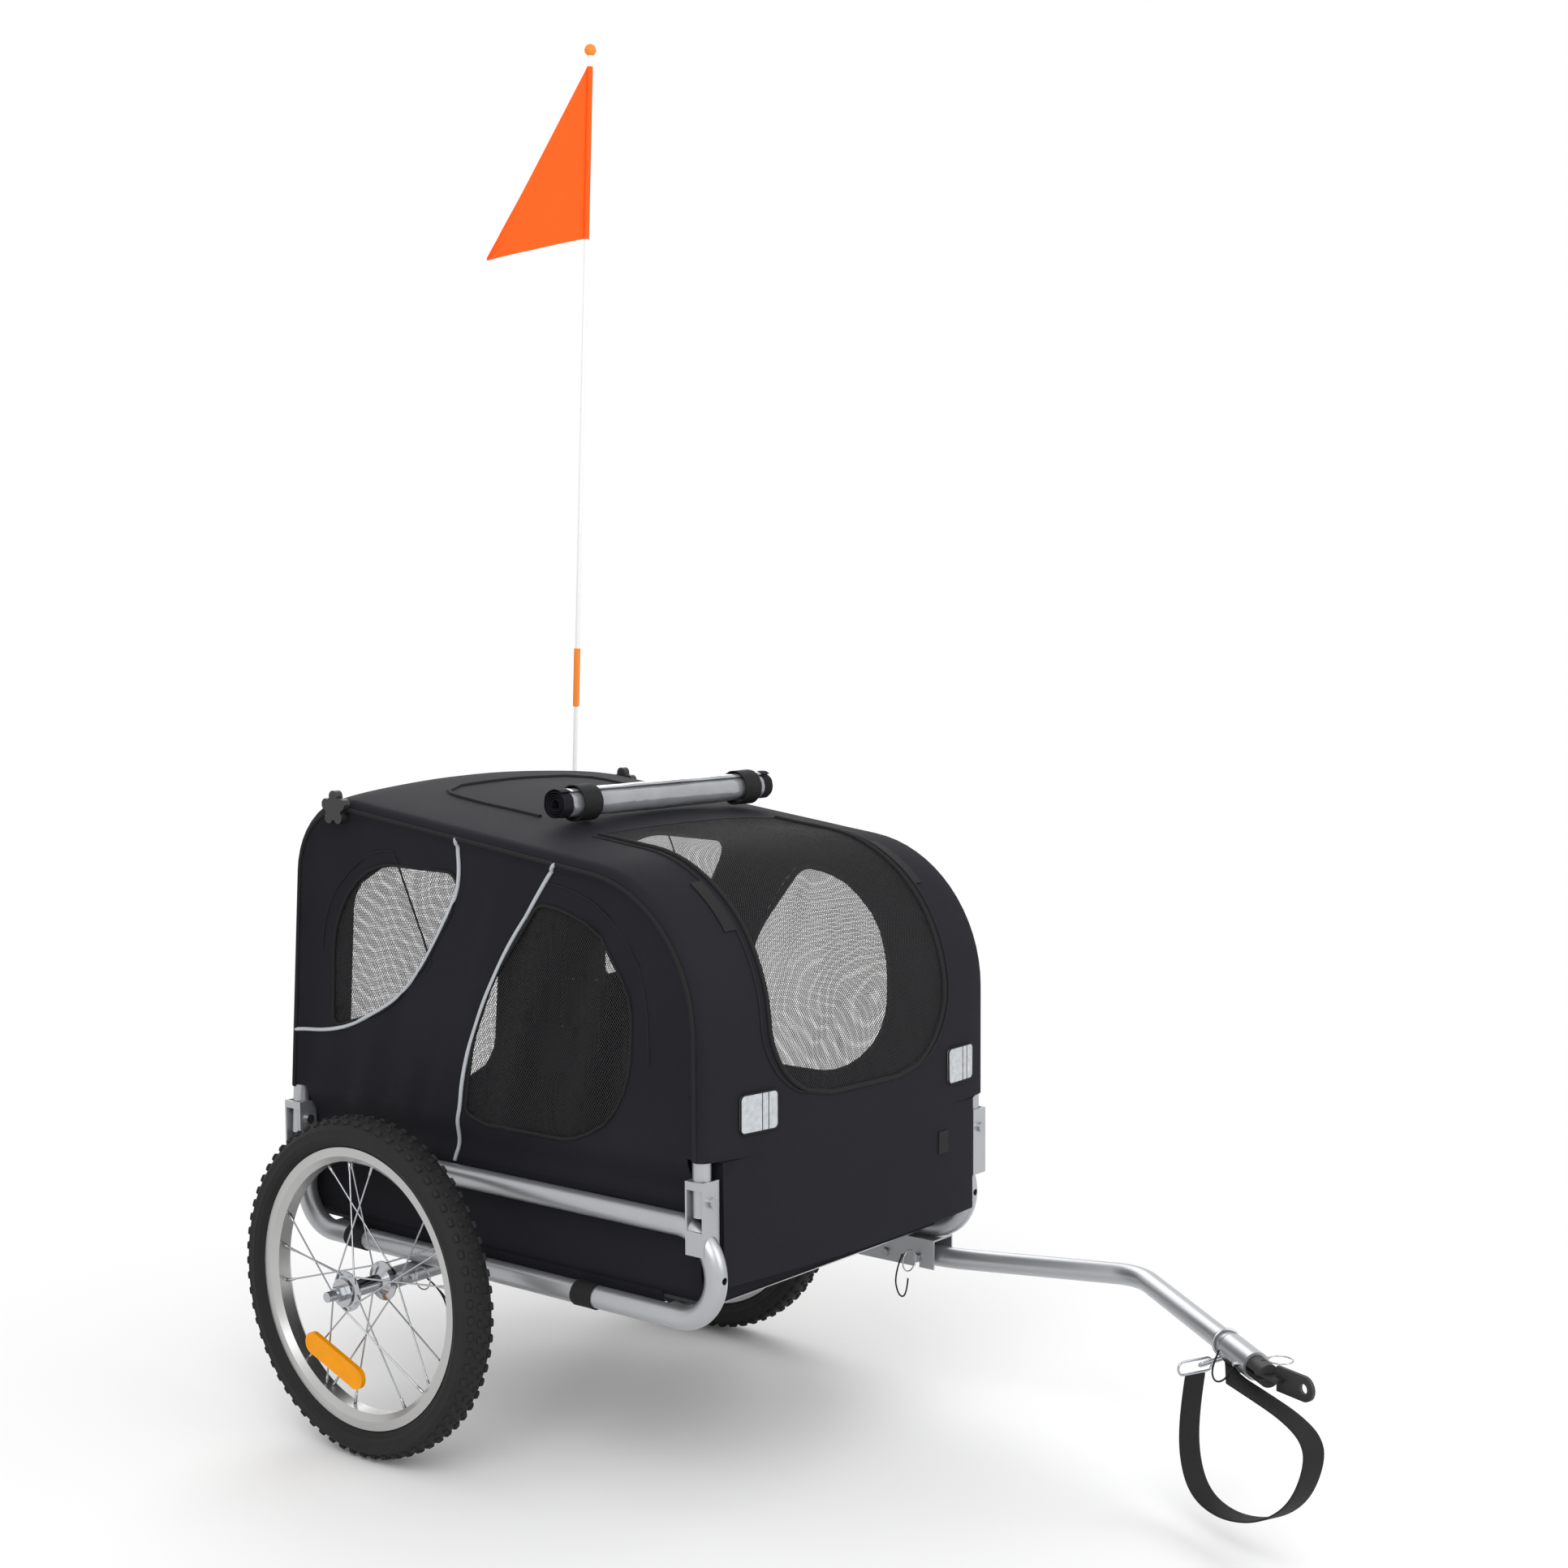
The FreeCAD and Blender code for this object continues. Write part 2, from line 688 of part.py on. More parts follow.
def crossbar():
    """Tube that holds the hoops apart; its ends are slotted upward so that it drops off the screws."""
    end = rail_half_span - d.hoop_dia / 2 - d.crossbar_gap
    at = knob_point(1)
    low = Vector(at.x, -end, at.z)
    high = Vector(at.x, end, at.z)
    radius = d.crossbar_dia / 2
    plug = LEFT * (d.crossbar_slot - 1.0)
    tube = rod(low, high, radius).cut(rod(low + plug, high - plug, radius - 2.0))
    slots = []
    slot = d.bolt_dia / 2 + d.seat_gap
    for name, side in SIDES:
        inner = side * (end - d.crossbar_slot)
        outer = side * (end + 1.0)
        near, far = min(inner, outer), max(inner, outer)
        slots.append(slab(at.x - slot, at.x + slot, near, far, at.z - slot, at.z + radius + 1.0))
    return tube.cut(slots)


def post_room(lean):
    """Half of a bracket's inner length, which leaves room for the post's lean."""
    return d.hoop_dia / 2 + d.seat_gap + lean * d.bracket_top


def hinge_brackets(side):
    """Two channel brackets on the loop, each open inward and with a window for the post's foot."""
    shapes = []
    notch = loop_tube(side, d.rail_dia / 2 + 0.1)
    half = d.hoop_dia / 2 + d.seat_gap
    wall = half + d.bracket_plate
    for point, lean in zip(pivot_points(side), POST_LEANS):
        room = post_room(lean)
        reach = room + d.bracket_plate
        outer_y = point.y + side * wall
        inner_y = point.y - side * wall
        near, far = min(outer_y, inner_y), max(outer_y, inner_y)
        top = fold_z + d.bracket_top
        bottom = fold_z - d.bracket_drop
        block = slab(point.x - reach, point.x + reach, near, far, bottom, top)
        channel_y = point.y + side * half
        deep = point.y - side * (wall + 1.0)
        near, far = min(channel_y, deep), max(channel_y, deep)
        channel = slab(point.x - room, point.x + room, near, far, bottom - 1.0, top + 1.0)
        window_y = point.y + side * (wall + 1.0)
        near, far = min(point.y, window_y), max(point.y, window_y)
        low = fold_z - d.bracket_window
        window = slab(point.x - room, point.x + room, near, far, low, top - d.bracket_lip)
        hole = rod(point - FORWARD * 2 * reach, point + FORWARD * 2 * reach, d.bolt_dia / 2 + 0.1)
        pieces = block.cut([channel, window, hole, notch]).Solids
        shapes.append(max(pieces, key=lambda piece: piece.Volume))
    return shapes


def pivot_bolts(side):
    """Bolt and nut through each bracket and post."""
    shapes = []
    for point, lean in zip(pivot_points(side), POST_LEANS):
        wall = post_room(lean) + d.bracket_plate + 0.1
        start = point + FORWARD * wall
        stop = point - FORWARD * wall
        shank = rod(start, stop, d.bolt_dia / 2)
        head = rod(start, start + FORWARD * d.bolt_head, d.bolt_head_dia / 2)
        nut = rod(stop, stop - FORWARD * d.bolt_head, d.bolt_head_dia / 2)
        shapes.append(shank.fuse([head, nut]).removeSplitter())
    return shapes


for name, side in SIDES:
    solid("hoop_" + name, hoop(side))
    solid("knob_" + name, knob(side))
    solid("hinge_brackets_" + name, *hinge_brackets(side))
solid("crossbar", crossbar())


# Cloth cabin
def offset_profile(side, y, offset, foot):
    """The hoop's outline moved outward by an offset and carried down to a foot height."""
    front_foot, front, rear, rear_foot = hoop_corners(side)
    lean = math.atan(d.rear_lean)
    slope = math.atan(d.roof_slope)
    front_x = front.x + offset
    lift = offset / math.cos(slope)
    side_step = offset / math.cos(lean)
    top_front = Vector(front_x, y, roof_height(front_x) + lift)
    rear_line = hoop_rear[side] - side_step
    peak = d.hoop_peak + d.roof_slope * d.hoop_peak_at + lift
    rear_x = (rear_line + d.rear_lean * (peak - fold_z)) / (1 + d.rear_lean * d.roof_slope)
    top_rear = Vector(rear_x, y, roof_height(rear_x) + lift)
    low_rear = Vector(rear_line + d.rear_lean * (foot - fold_z), y, foot)
    corners = [Vector(front_x, y, foot), top_front, top_rear, low_rear]
    return rounded_path(corners, (d.arch_radius + offset, d.rear_radius + offset))


def closed_face(outer, inner):
    """The strip between two open wires that run side by side."""
    first = Part.LineSegment(outer.OrderedVertexes[0].Point, inner.OrderedVertexes[0].Point).toShape()
    last = Part.LineSegment(outer.OrderedVertexes[-1].Point, inner.OrderedVertexes[-1].Point).toShape()
    return Part.Wire(Part.__sortEdges__(outer.Edges + inner.Edges + [first, last]))


def cover_strip(inner, outer, foot, half):
    """Front, roof and rear cloth in one piece, crowned between the right hoop and the left."""
    sections = []
    for place, crown in ((-1, 0.0), (0, d.cover_crown), (1, 0.0)):
        y = place * half
        above = offset_profile(place, y, outer + crown, foot)
        below = offset_profile(place, y, inner + crown, foot)
        sections.append(closed_face(above, below))
    return Part.makeLoft(sections, True, False)


def rounded_rectangle(width, low, high, corner):
    """Closed outline in two coordinates with round lower corners and a plain upper edge."""
    points = [
        Vector(width, high, 0),
        Vector(width, low, 0),
        Vector(-width, low, 0),
        Vector(-width, high, 0),
    ]
    open_wire = rounded_path(points, (corner, corner))
    top = Part.LineSegment(points[-1], points[0]).toShape()
    return Part.Wire(open_wire.Edges + [top])


def lay(wire, origin, along, across):
    """Moves a flat outline from the XY plane to a plane with the two given directions."""
    normal = along.cross(across)
    matrix = FreeCAD.Matrix(
        along.x, across.x, normal.x, origin.x,
        along.y, across.y, normal.y, origin.y,
        along.z, across.z, normal.z, origin.z,
        0, 0, 0, 1,
    )
    return wire.transformGeometry(matrix)


def door_block(margin):
    """Everything in front of the cabin inside the front door's outline."""
    width = door_half_width + margin
    outline = rounded_rectangle(width, d.door_sill - margin, d.hoop_peak, d.door_corner + margin)
    back = Vector(d.door_hinge_at + edge - margin, 0, 0)
    laid = lay(outline, back, LEFT, UP)
    return Part.Face(laid).extrude(FORWARD * (rail_front - d.door_hinge_at + 60.0))


def hatch_block(margin):
    """Everything above and below the roof inside the hatch's outline."""
    half = hatch_half_width + margin
    low = d.hatch_rear - margin
    high = d.hatch_front + margin
    outline = rounded_rectangle(half, low, high, d.hatch_corner + margin)
    laid = lay(outline, Vector(0, 0, d.hoop_peak - d.rear_radius), LEFT, FORWARD)
    return Part.Face(laid).extrude(UP * 2 * d.rear_radius)


edge = d.seat_gap
strip_half = panel_y + d.cloth
strip = cover_strip(cloth_in, cloth_out, d.hem_height, strip_half)
far = 4 * d.wheel_radius
notch_top = fold_z + d.corner_notch
notch_in = tub_wall - 3.0
left_notch = slab(-far, far, notch_in, far, 0, notch_top)
right_notch = slab(-far, far, -far, -notch_in, 0, notch_top)
strip = strip.cut([left_notch, right_notch])
front_zone = slab(d.door_hinge_at, far, -far, far, 0, 2 * far)
rear_top = roof_height(hoop_rear[-1]) - d.rear_radius
rear_zone = slab(-far, hoop_rear[-1] + d.rear_radius, -far, far, 0, rear_top)

front_cloth = strip.common(front_zone)
rear_cloth = strip.common(rear_zone)
roof_cloth = strip.cut([front_zone, rear_zone])
solid("front_panel", front_cloth.cut(door_block(edge)))
solid("front_door", front_cloth.common(door_block(0.0)))
solid("roof_panel", roof_cloth.cut(hatch_block(edge)))
solid("roof_hatch", roof_cloth.common(hatch_block(0.0)))
solid("rear_panel", rear_cloth)


def side_face(side, y, offset):
    """The whole side of the cabin inside one hoop, as a flat face."""
    line = offset_profile(side, y, offset, fold_z + d.panel_foot)
    ends = [vertex.Point for vertex in line.OrderedVertexes]
    hem = Part.LineSegment(ends[-1], ends[0]).toShape()
    return Part.Face(Part.Wire(Part.__sortEdges__(line.Edges + [hem])))


# Window corners: forward of the axle, and below the hoops' peak
REAR_WINDOW = ((-131, 262), (-131, 58), (90, 62), (74, 114), (28, 176), (-42, 237))
REAR_ROUNDING = (110.0, 14.0, 60.0, 90.0, 120.0)
FRONT_WINDOW = ((92, 340), (110, 252), (146, 174), (216, 88), (354, 94), (354, 348), (130, 348))
FRONT_ROUNDING = (150.0, 200.0, 30.0, 125.0, 115.0, 30.0)


def window(y, corners, rounding):
    """A side window's outline with rounded corners, as a flat face; its heights follow the hoop's height."""
    stretch = (d.hoop_peak - fold_z) / d.window_span
    points = [Vector(x, y, d.hoop_peak - stretch * drop) for x, drop in corners]
    ease = min(1.0, stretch)
    return Part.Face(rounded_path(points + [points[0]], [radius * ease for radius in rounding]))


def windows(y):
    """Both side windows as faces at a sideways place."""
    return window(y, REAR_WINDOW, REAR_ROUNDING), window(y, FRONT_WINDOW, FRONT_ROUNDING)


def corner_gaps(side):
    """Blocks that keep the side cloth clear of the two hinge brackets."""
    gaps = []
    for point in pivot_points(side):
        reach = d.hoop_dia / 2 + d.bracket_plate + 6.0
        gaps.append(slab(point.x - reach - 20.0, point.x + reach, -far, far, 0, notch_top))
    return gaps


def side_panel(side):
    """Side cloth with two window openings, and the two mesh windows that fill them."""
    y = side * panel_y
    way = LEFT * side
    openings = [face.extrude(way * d.cloth) for face in windows(y)]
    screw = knob_point(side)
    eyelet = rod(screw, screw + way * 2 * d.hoop_dia, d.bolt_dia / 2 + d.seat_gap)
    panel = side_face(side, y, cloth_in - d.seat_gap).extrude(way * d.cloth)
    panel = panel.cut(openings + corner_gaps(side) + [eyelet])
    mesh_y = y + side * (d.cloth - d.mesh) / 2
    meshes = [face.makeOffset2D(-0.2).extrude(way * d.mesh) for face in windows(mesh_y)]
    return panel, meshes


for name, side in SIDES:
    cloth, meshes = side_panel(side)
    solid("side_panel_" + name, cloth)
    solid("side_mesh_" + name, *meshes)


def tub_section():
    """Cross-section of the cloth tub inside the rails: floor and two side walls."""
    outer = tub_wall
    inner = tub_wall - d.cloth
    low = floor_z
    return polygon(
        [(-outer, low), (outer, low), (outer, tub_top), (inner, tub_top),
         (inner, low + d.cloth), (-inner, low + d.cloth), (-inner, tub_top), (-outer, tub_top)]
    )


tub = body("lower_tub")
tub_drawing = sketch(tub, "tub_section", "YZ_Plane", tub_section())
tub_drawing.AttachmentOffset = FreeCAD.Placement(Vector(0, 0, d.tub_rear), FreeCAD.Rotation())
pad(tub, "tub_length", tub_drawing, "Sizes.tub_front - Sizes.tub_rear")

board = body("floor_board")
board_half = tub_wall - d.cloth - 2.0
board_outline = polygon(
    [(d.tub_rear + 4.0, -board_half), (d.tub_front - 4.0, -board_half),
     (d.tub_front - 4.0, board_half), (d.tub_rear + 4.0, board_half)]
)
board_drawing = sketch(board, "board_outline", "XY_Plane", board_outline)
board_drawing.AttachmentOffset = FreeCAD.Placement(Vector(0, 0, floor_z + d.cloth), FreeCAD.Rotation())
pad(board, "board_thickness", board_drawing, "Sizes.floor_thick")


def floor_straps():
    """Webbing loops that tie the tub's floor to the lower rails."""
    shapes = []
    for name, side in SIDES:
        for x in (d.floor_strap_front, d.floor_strap_rear):
            middle = Vector(x - d.strap_width / 2, side * rail_half_span, rail_low)
            inner = d.rail_dia / 2 + 0.15
            shapes.append(pipe(middle, middle + FORWARD * d.strap_width, inner + 1.5, inner))
    return shapes


solid("floor_straps", *floor_straps())


def crown_at(y):
    """How far the cover stands out from the line between the hoops."""
    return d.cover_crown * (1 - (y / strip_half) ** 2)


def front_face_x(y):
    """Outer face of the front cloth at a sideways place."""
    share = (y + strip_half) / (2 * strip_half)
    return hoop_front[-1] + d.hoop_nest * share + cloth_out + crown_at(y)


def front_reflectors():
    """Silver reflective tabs sewn flat on the front cloth."""
    shapes = []
    low = d.tab_height - d.tab_rise
    for y in (tab_right, tab_left):
        ends = [y - d.tab_width / 2, y + d.tab_width / 2]
        front = [(front_face_x(end) + d.seat_gap, end) for end in ends]
        middle = (front_face_x(y) + d.seat_gap, y)
        inner = Part.Arc(*[Vector(x, place, low) for x, place in (front[0], middle, front[1])]).toShape()
        outer = inner.translated(FORWARD * 2.0)
        sides = [
            Part.LineSegment(inner.Vertexes[index].Point, outer.Vertexes[index].Point).toShape()
            for index in (0, 1)
        ]
        outline = Part.Wire(Part.__sortEdges__([inner, outer] + sides))
        shapes.append(Part.Face(outline).extrude(UP * d.tab_rise))
    return shapes


solid("front_reflectors", *front_reflectors())


# Rolled rain cover on the roof
roll_seat = (cloth_out + d.cover_crown) / math.cos(math.atan(d.roof_slope))
roll_z = roof_height(d.roll_at) + roll_seat + (d.roll_radius + d.seat_gap) / math.cos(math.atan(d.roof_slope))


def rain_roll():
    """Clear rain cover rolled up, with a rolled end seen as a spiral step."""
    low = Vector(d.roll_at, roll_right, roll_z)
    high = Vector(d.roll_at, roll_left, roll_z)
    core = rod(low, high, d.roll_radius)
    return core.cut(rod(low, high, d.roll_radius * 0.3))


def roll_straps():
    """Two straps round the roll, down to the roof cloth."""
    shapes = []
    for y in (roll_right + 28.0, roll_left - 28.0 - d.roll_strap):
        low = Vector(d.roll_at, y, roll_z)
        high = Vector(d.roll_at, y + d.roll_strap, roll_z)
        inner = d.roll_radius + 0.15
        shapes.append(pipe(low, high, inner + 1.2, inner))
    return shapes


solid("rain_roll", rain_roll())
solid("roll_straps", *roll_straps())


# Tow arm
channel_top = rail_low - d.rail_dia / 2 - d.seat_gap
channel_half = d.channel_gap / 2
lock_point = tow_pivot + tow_first * ((d.tow_lock_at - d.tow_pivot_at) / tow_first.x)


def tow_channel():
    """Steel channel under the left rail, open below, with a pivot hole and a notch for the lock pin."""
    wall = channel_half + d.channel_plate
    low = channel_top - d.channel_depth
    block = slab(
        d.channel_rear, d.channel_front, rail_half_span - wall, rail_half_span + wall, low, channel_top
    )
    hollow = slab(
        d.channel_rear - 1.0, d.channel_front + 1.0,
        rail_half_span - channel_half, rail_half_span + channel_half,
        low - 1.0, channel_top - d.channel_plate,
    )
    pivot = rod(tow_pivot - LEFT * 2 * wall, tow_pivot + LEFT * 2 * wall, d.bolt_dia / 2 + 0.1)
    spare = Vector(d.channel_rear + 22.0, rail_half_span, tow_pivot.z)
    empty = rod(spare - LEFT * 2 * wall, spare + LEFT * 2 * wall, d.bolt_dia / 2)
    lock = rod(lock_point - LEFT * 2 * wall, lock_point + LEFT * 2 * wall, d.bolt_dia / 2 + 0.4)
    slot = d.bolt_dia / 2 + 0.4
    turn = lock_point.distanceToPoint(tow_pivot)
    sweep = pipe(tow_pivot - LEFT * 2 * wall, tow_pivot + LEFT * 2 * wall, turn + slot, turn - slot)
    notch = sweep.common(
        slab(tow_pivot.x, d.channel_front, 0, 2 * rail_half_span, low - 1.0, lock_point.z)
    )
    return block.cut([hollow, pivot, empty, lock, notch])


def tow_pivot_bolt():
    """Bolt and nut that the tow arm turns on."""
    wall = channel_half + d.channel_plate + 0.1
    start = tow_pivot - LEFT * wall
    stop = tow_pivot + LEFT * wall
    shank = rod(start, stop, d.bolt_dia / 2)
    head = rod(start, start - LEFT * d.bolt_head, d.bolt_head_dia / 2)
    nut = rod(stop, stop + LEFT * d.bolt_head, d.bolt_head_dia / 2)
    return shank.fuse([head, nut]).removeSplitter()


def tow_bar():
    """Bent tow tube, drilled for its pivot bolt and lock pin."""
    start = tow_pivot - tow_first * d.tow_tail
    line = rounded_path([start, tow_knee, tow_bend, tow_end], (d.tow_knee_radius, d.tow_bend_radius))
    radius = d.tow_dia / 2
    tube = swept(line, radius).cut(swept(line, radius - d.tow_wall))
    cuts = []
    for point, hole in ((tow_pivot, d.bolt_dia / 2 + 0.1), (lock_point, d.bolt_dia / 2 + 0.1)):
        cuts.append(rod(point - LEFT * d.tow_dia, point + LEFT * d.tow_dia, hole))
    return tube.cut(cuts)


def tow_lock_pin():
    """Wire-lock pin through the channel and the tow bar, pulled out to the right."""
    head = lock_point - LEFT * (channel_half + d.channel_plate + d.seat_gap)
    length = 2 * (channel_half + d.channel_plate) + 8.0
    return wire_pin(head, LEFT, length, d.bolt_dia / 2, FORWARD)


def hitch_stub():
    """Plated stub that joins the tow tube to the grey sleeve."""
    inner = d.tow_dia / 2 - d.tow_wall - 0.1
    return rod(tow_end - tow_second * 40.0, tow_end + tow_second * 22.0, inner)


def hitch_sleeve():
    """Steel sleeve over the stub, with a cross hole for the hitch's lock pin."""
    start = tow_end + tow_second * 6.0
    stub = d.tow_dia / 2 - d.tow_wall
    core = d.core_dia / 2 + 0.1
    shell = rod(start, sleeve_end, d.sleeve_dia / 2)
    bores = [
        rod(start - tow_second, tow_end + tow_second * 24.0, stub),
        rod(tow_end + tow_second * 24.0, sleeve_end + tow_second, core),
        hitch_lock_hole(),
    ]
    return shell.cut(bores)


def hitch_lock_hole():
    """Cross hole near the sleeve's end."""
    point = sleeve_end - tow_second * 12.0
    across = UP.cross(tow_second).normalize()
    return rod(point - across * d.sleeve_dia, point + across * d.sleeve_dia, d.lock_pin_dia / 2 + 0.1)


def coupling_core():
    """Rubber block in the sleeve, slotted at its nose for the hitch plate."""
    start = tow_end + tow_second * 24.3
    end = sleeve_end + tow_second * d.core_length
    block = rod(start, end, d.core_dia / 2)
    slot = d.hitch_plate_width
    gap = d.hitch_plate_thick / 2 + 0.4
    across = 2 * d.core_dia
    back = d.core_dia * 0.8
    mouth = Part.makeBox(back + d.core_length, across, 2 * gap, Vector(-back, -across / 2, -gap))
    mouth.Placement = FreeCAD.Placement(hitch_pin, FreeCAD.Rotation(UP, d.tow_yaw))
    pin = rod(hitch_pin - UP * slot, hitch_pin + UP * slot, d.bolt_dia / 2 + 0.05)
    return block.cut([mouth, pin, hitch_lock_hole()])


def hitch_plate():
    """Flat tongue on the coupling pin, twisted upright into a plate with the axle hole."""
    tongue_half = d.core_dia / 2 - 2.0
    thick = d.hitch_plate_thick
    across = UP.cross(hitch_way)
    eye_end = rod(hitch_pin - UP * thick / 2, hitch_pin + UP * thick / 2, tongue_half)
    tongue = Part.makeBox(30.0, 2 * tongue_half, thick, Vector(0, -tongue_half, -thick / 2))
    tongue.Placement = FreeCAD.Placement(hitch_pin, FreeCAD.Rotation(UP, d.hitch_yaw))
    half = d.hitch_plate_width / 2
    plate = Part.makeBox(d.hitch_reach - 20.0, thick, 2 * half, Vector(20.0, -thick / 2, -half))
    plate.Placement = FreeCAD.Placement(hitch_pin, FreeCAD.Rotation(UP, d.hitch_yaw))
    end = rod(hitch_eye - across * thick / 2, hitch_eye + across * thick / 2, half)
    bore = rod(hitch_eye - across * half, hitch_eye + across * half, d.hitch_bore / 2)
    reach = d.core_dia / 2 - 0.5
    pin = rod(hitch_pin - UP * reach, hitch_pin + UP * reach, d.bolt_dia / 2)
    return eye_end.fuse([tongue, plate, end, pin]).removeSplitter().cut(bore)


def hitch_lock_pin():
    """Wire-lock pin through the sleeve and the rubber block."""
    point = sleeve_end - tow_second * 12.0
    across = UP.cross(tow_second).normalize()
    head = point + across * (d.sleeve_dia / 2 + d.seat_gap)
    return wire_pin(head, across * -1, d.sleeve_dia + 6.0, d.lock_pin_dia / 2, UP)


solid("tow_channel", tow_channel())
solid("frame_bolts", *pivot_bolts(-1), *pivot_bolts(1), tow_pivot_bolt())
solid("tow_bar", tow_bar())
solid("tow_lock_pin", tow_lock_pin())
solid("hitch_stub", hitch_stub())
solid("hitch_sleeve", hitch_sleeve())
solid("coupling_core", coupling_core())
solid("hitch_plate", hitch_plate())
solid("hitch_lock_pin", hitch_lock_pin())

# Safety strap, hanging in a loop beside the tow arm
strap_way = direction(d.strap_yaw)
strap_across = UP.cross(strap_way)
strap_base = tow_bend + Vector(d.strap_at, -d.strap_in, 0)
STRAP_ROUTE = (
    (12, -34), (2, -80), (3, -128), (22, -160), (65, -168), (117, -156),
    (160, -132), (188, -102), (204, -62), (196, -42), (165, -31), (120, -25), (80, -20.5),
)


def bend_radii(points):
    """The widest tangent arc at each inner point that leaves a short straight run."""
    radii = []
    for before, corner, after in zip(points, points[1:], points[2:]):
        back = before - corner
        ahead = after - corner
        half_turn = (math.pi - back.getAngle(ahead)) / 2
        radii.append(0.45 * min(back.Length, ahead.Length) / math.tan(half_turn))
    return radii


def strap_point(along, drop):
    """A point of the strap's upright plane."""
    return strap_base + strap_way * along + UP * drop


def safety_strap():
    """Flat webbing that hangs from the buckle and comes back up under the sleeve."""
    points = [strap_point(along, drop) for along, drop in STRAP_ROUTE]
    line = rounded_path(points, bend_radii(points))
    first = line.Edges[0]
    along = first.tangentAt(first.FirstParameter)
    thick = along.cross(strap_across).normalize() * (d.webbing_thick / 2)
    wide = strap_across * (d.webbing_width / 2)
    start = points[0]
    corners = [start + thick + wide, start - thick + wide, start - thick - wide, start + thick - wide]
    section = Part.makePolygon(corners + [corners[0]])
    return line.makePipeShell([section], True, False)


def racetrack(start, end, reach, normal, wire):
    """A closed wire link round two points, in the plane square to the normal."""
    way = (end - start).normalize()
    out = normal.cross(way).normalize() * reach
    edges = [
        Part.LineSegment(start + out, end + out).toShape(),
        Part.Arc(end + out, end + way * reach, end - out).toShape(),
        Part.LineSegment(end - out, start - out).toShape(),
        Part.Arc(start - out, start - way * reach, start + out).toShape(),
    ]
    line = Part.Wire(edges)
    section = Part.Wire([Part.makeCircle(wire / 2, start + out, way)])
    return line.makePipeShell([section], True, False)


buckle_mid = strap_point(STRAP_ROUTE[0][0], STRAP_ROUTE[0][1] + d.buckle_rise + 0.4 * d.hook_wire + d.seat_gap)
collar_mid = tow_bend + tow_second * d.collar_at


def snap_hook():
    """Collar on the tow bar, a spring hook hung from it, and the buckle that holds the strap."""
    collar = ring(collar_mid, tow_second, d.tow_dia / 2 + d.hook_wire / 2 + 0.15, d.hook_wire)
    foot = collar_mid - UP * (d.tow_dia / 2 + d.hook_wire + 0.15)
    way = (buckle_mid - foot).normalize()
    start = foot + way * 5.0
    stop = buckle_mid - way * 9.0
    hook = racetrack(start, stop, 4.2, way.cross(strap_across), d.hook_wire * 0.8)
    half = d.webbing_width / 2 + 2.0
    buckle = racetrack(
        buckle_mid - strap_across * half, buckle_mid + strap_across * half,
        d.buckle_rise, strap_way, d.hook_wire * 0.8,
    )
    return collar.fuse([hook, buckle])


solid("safety_strap", safety_strap())
solid("snap_hook", snap_hook())


# Lanyards of the lock pins
def lanyard(points):
    """A limp cord along a route of points."""
    return swept(rounded_path(points, bend_radii(points)), d.lanyard_dia / 2)


def wheel_lanyard(side):
    """Cord from the axle tube to the ring of the wheel's lock pin."""
    start = Vector(0, lock_y(side) - side * 34.0, axle_z - d.axle_tube_dia / 2 - 1.2)
    route = ((0, 0, 0), (26, 2, -8), (44, 6, -34), (66, 16, -38), (76, 26, -16), (56, 32, 4))
    return lanyard([start + Vector(x, side * y, z) for x, y, z in route])


def tow_lanyard():
    """Cord from the tow channel to the ring of its lock pin."""
    wall = channel_half + d.channel_plate
    low = channel_top - d.channel_depth
    start = Vector(lock_point.x - 22.0, rail_half_span - wall - 1.2, low + 12.0)
    route = ((0, 0, 0), (-8, -6, -26), (4, -14, -48), (22, -22, -44), (26, -24, -20))
    return lanyard([start + Vector(*offset) for offset in route])


def hitch_lanyard():
    """Cord from the sleeve's rear end down past its near side to the lock pin's ring."""
    across = UP.cross(tow_second).normalize()
    start = tow_end + tow_second * 10.0 - across * (d.sleeve_dia / 2 + 1.2)
    route = ((0, 0, 0), (6, 12, -16), (28, 18, -24), (44, 12, -16), (50, 8, -2))
    return lanyard([start + tow_second * t - across * out + UP * rise for t, out, rise in route])


solid("pin_lanyards", wheel_lanyard(-1), wheel_lanyard(1), tow_lanyard())
solid("hitch_lanyard", hitch_lanyard())

# Safety flag
pole_slope = math.tan(math.radians(d.pole_lean))
pole_way = Vector(pole_slope, 0, 1).normalize()


def pole_point(z):
    """Point of the flag pole at a height."""
    return Vector(hoop_rear[1] + 24.0 + (z - d.pole_join) * pole_slope, rail_half_span + d.pole_out, z)


def flag_socket():
    """Tube that takes the pole's foot, on a lug of the left rear bracket."""
    low = pole_point(d.pole_base - 4.0)
    high = pole_point(d.pole_base - 4.0 + d.socket_length)
    web = rail_half_span + d.hoop_dia / 2 + d.seat_gap + d.bracket_plate
    lug = slab(low.x - 5.0, low.x + 5.0, web, low.y, low.z + 4.0, low.z + 16.0)
    pocket = rod(pole_point(d.pole_base - 0.3), pole_point(d.pole_base + d.socket_length), d.pole_dia / 2 + 0.1)
    return rod(low, high, d.socket_dia / 2).fuse(lug).removeSplitter().cut(pocket)


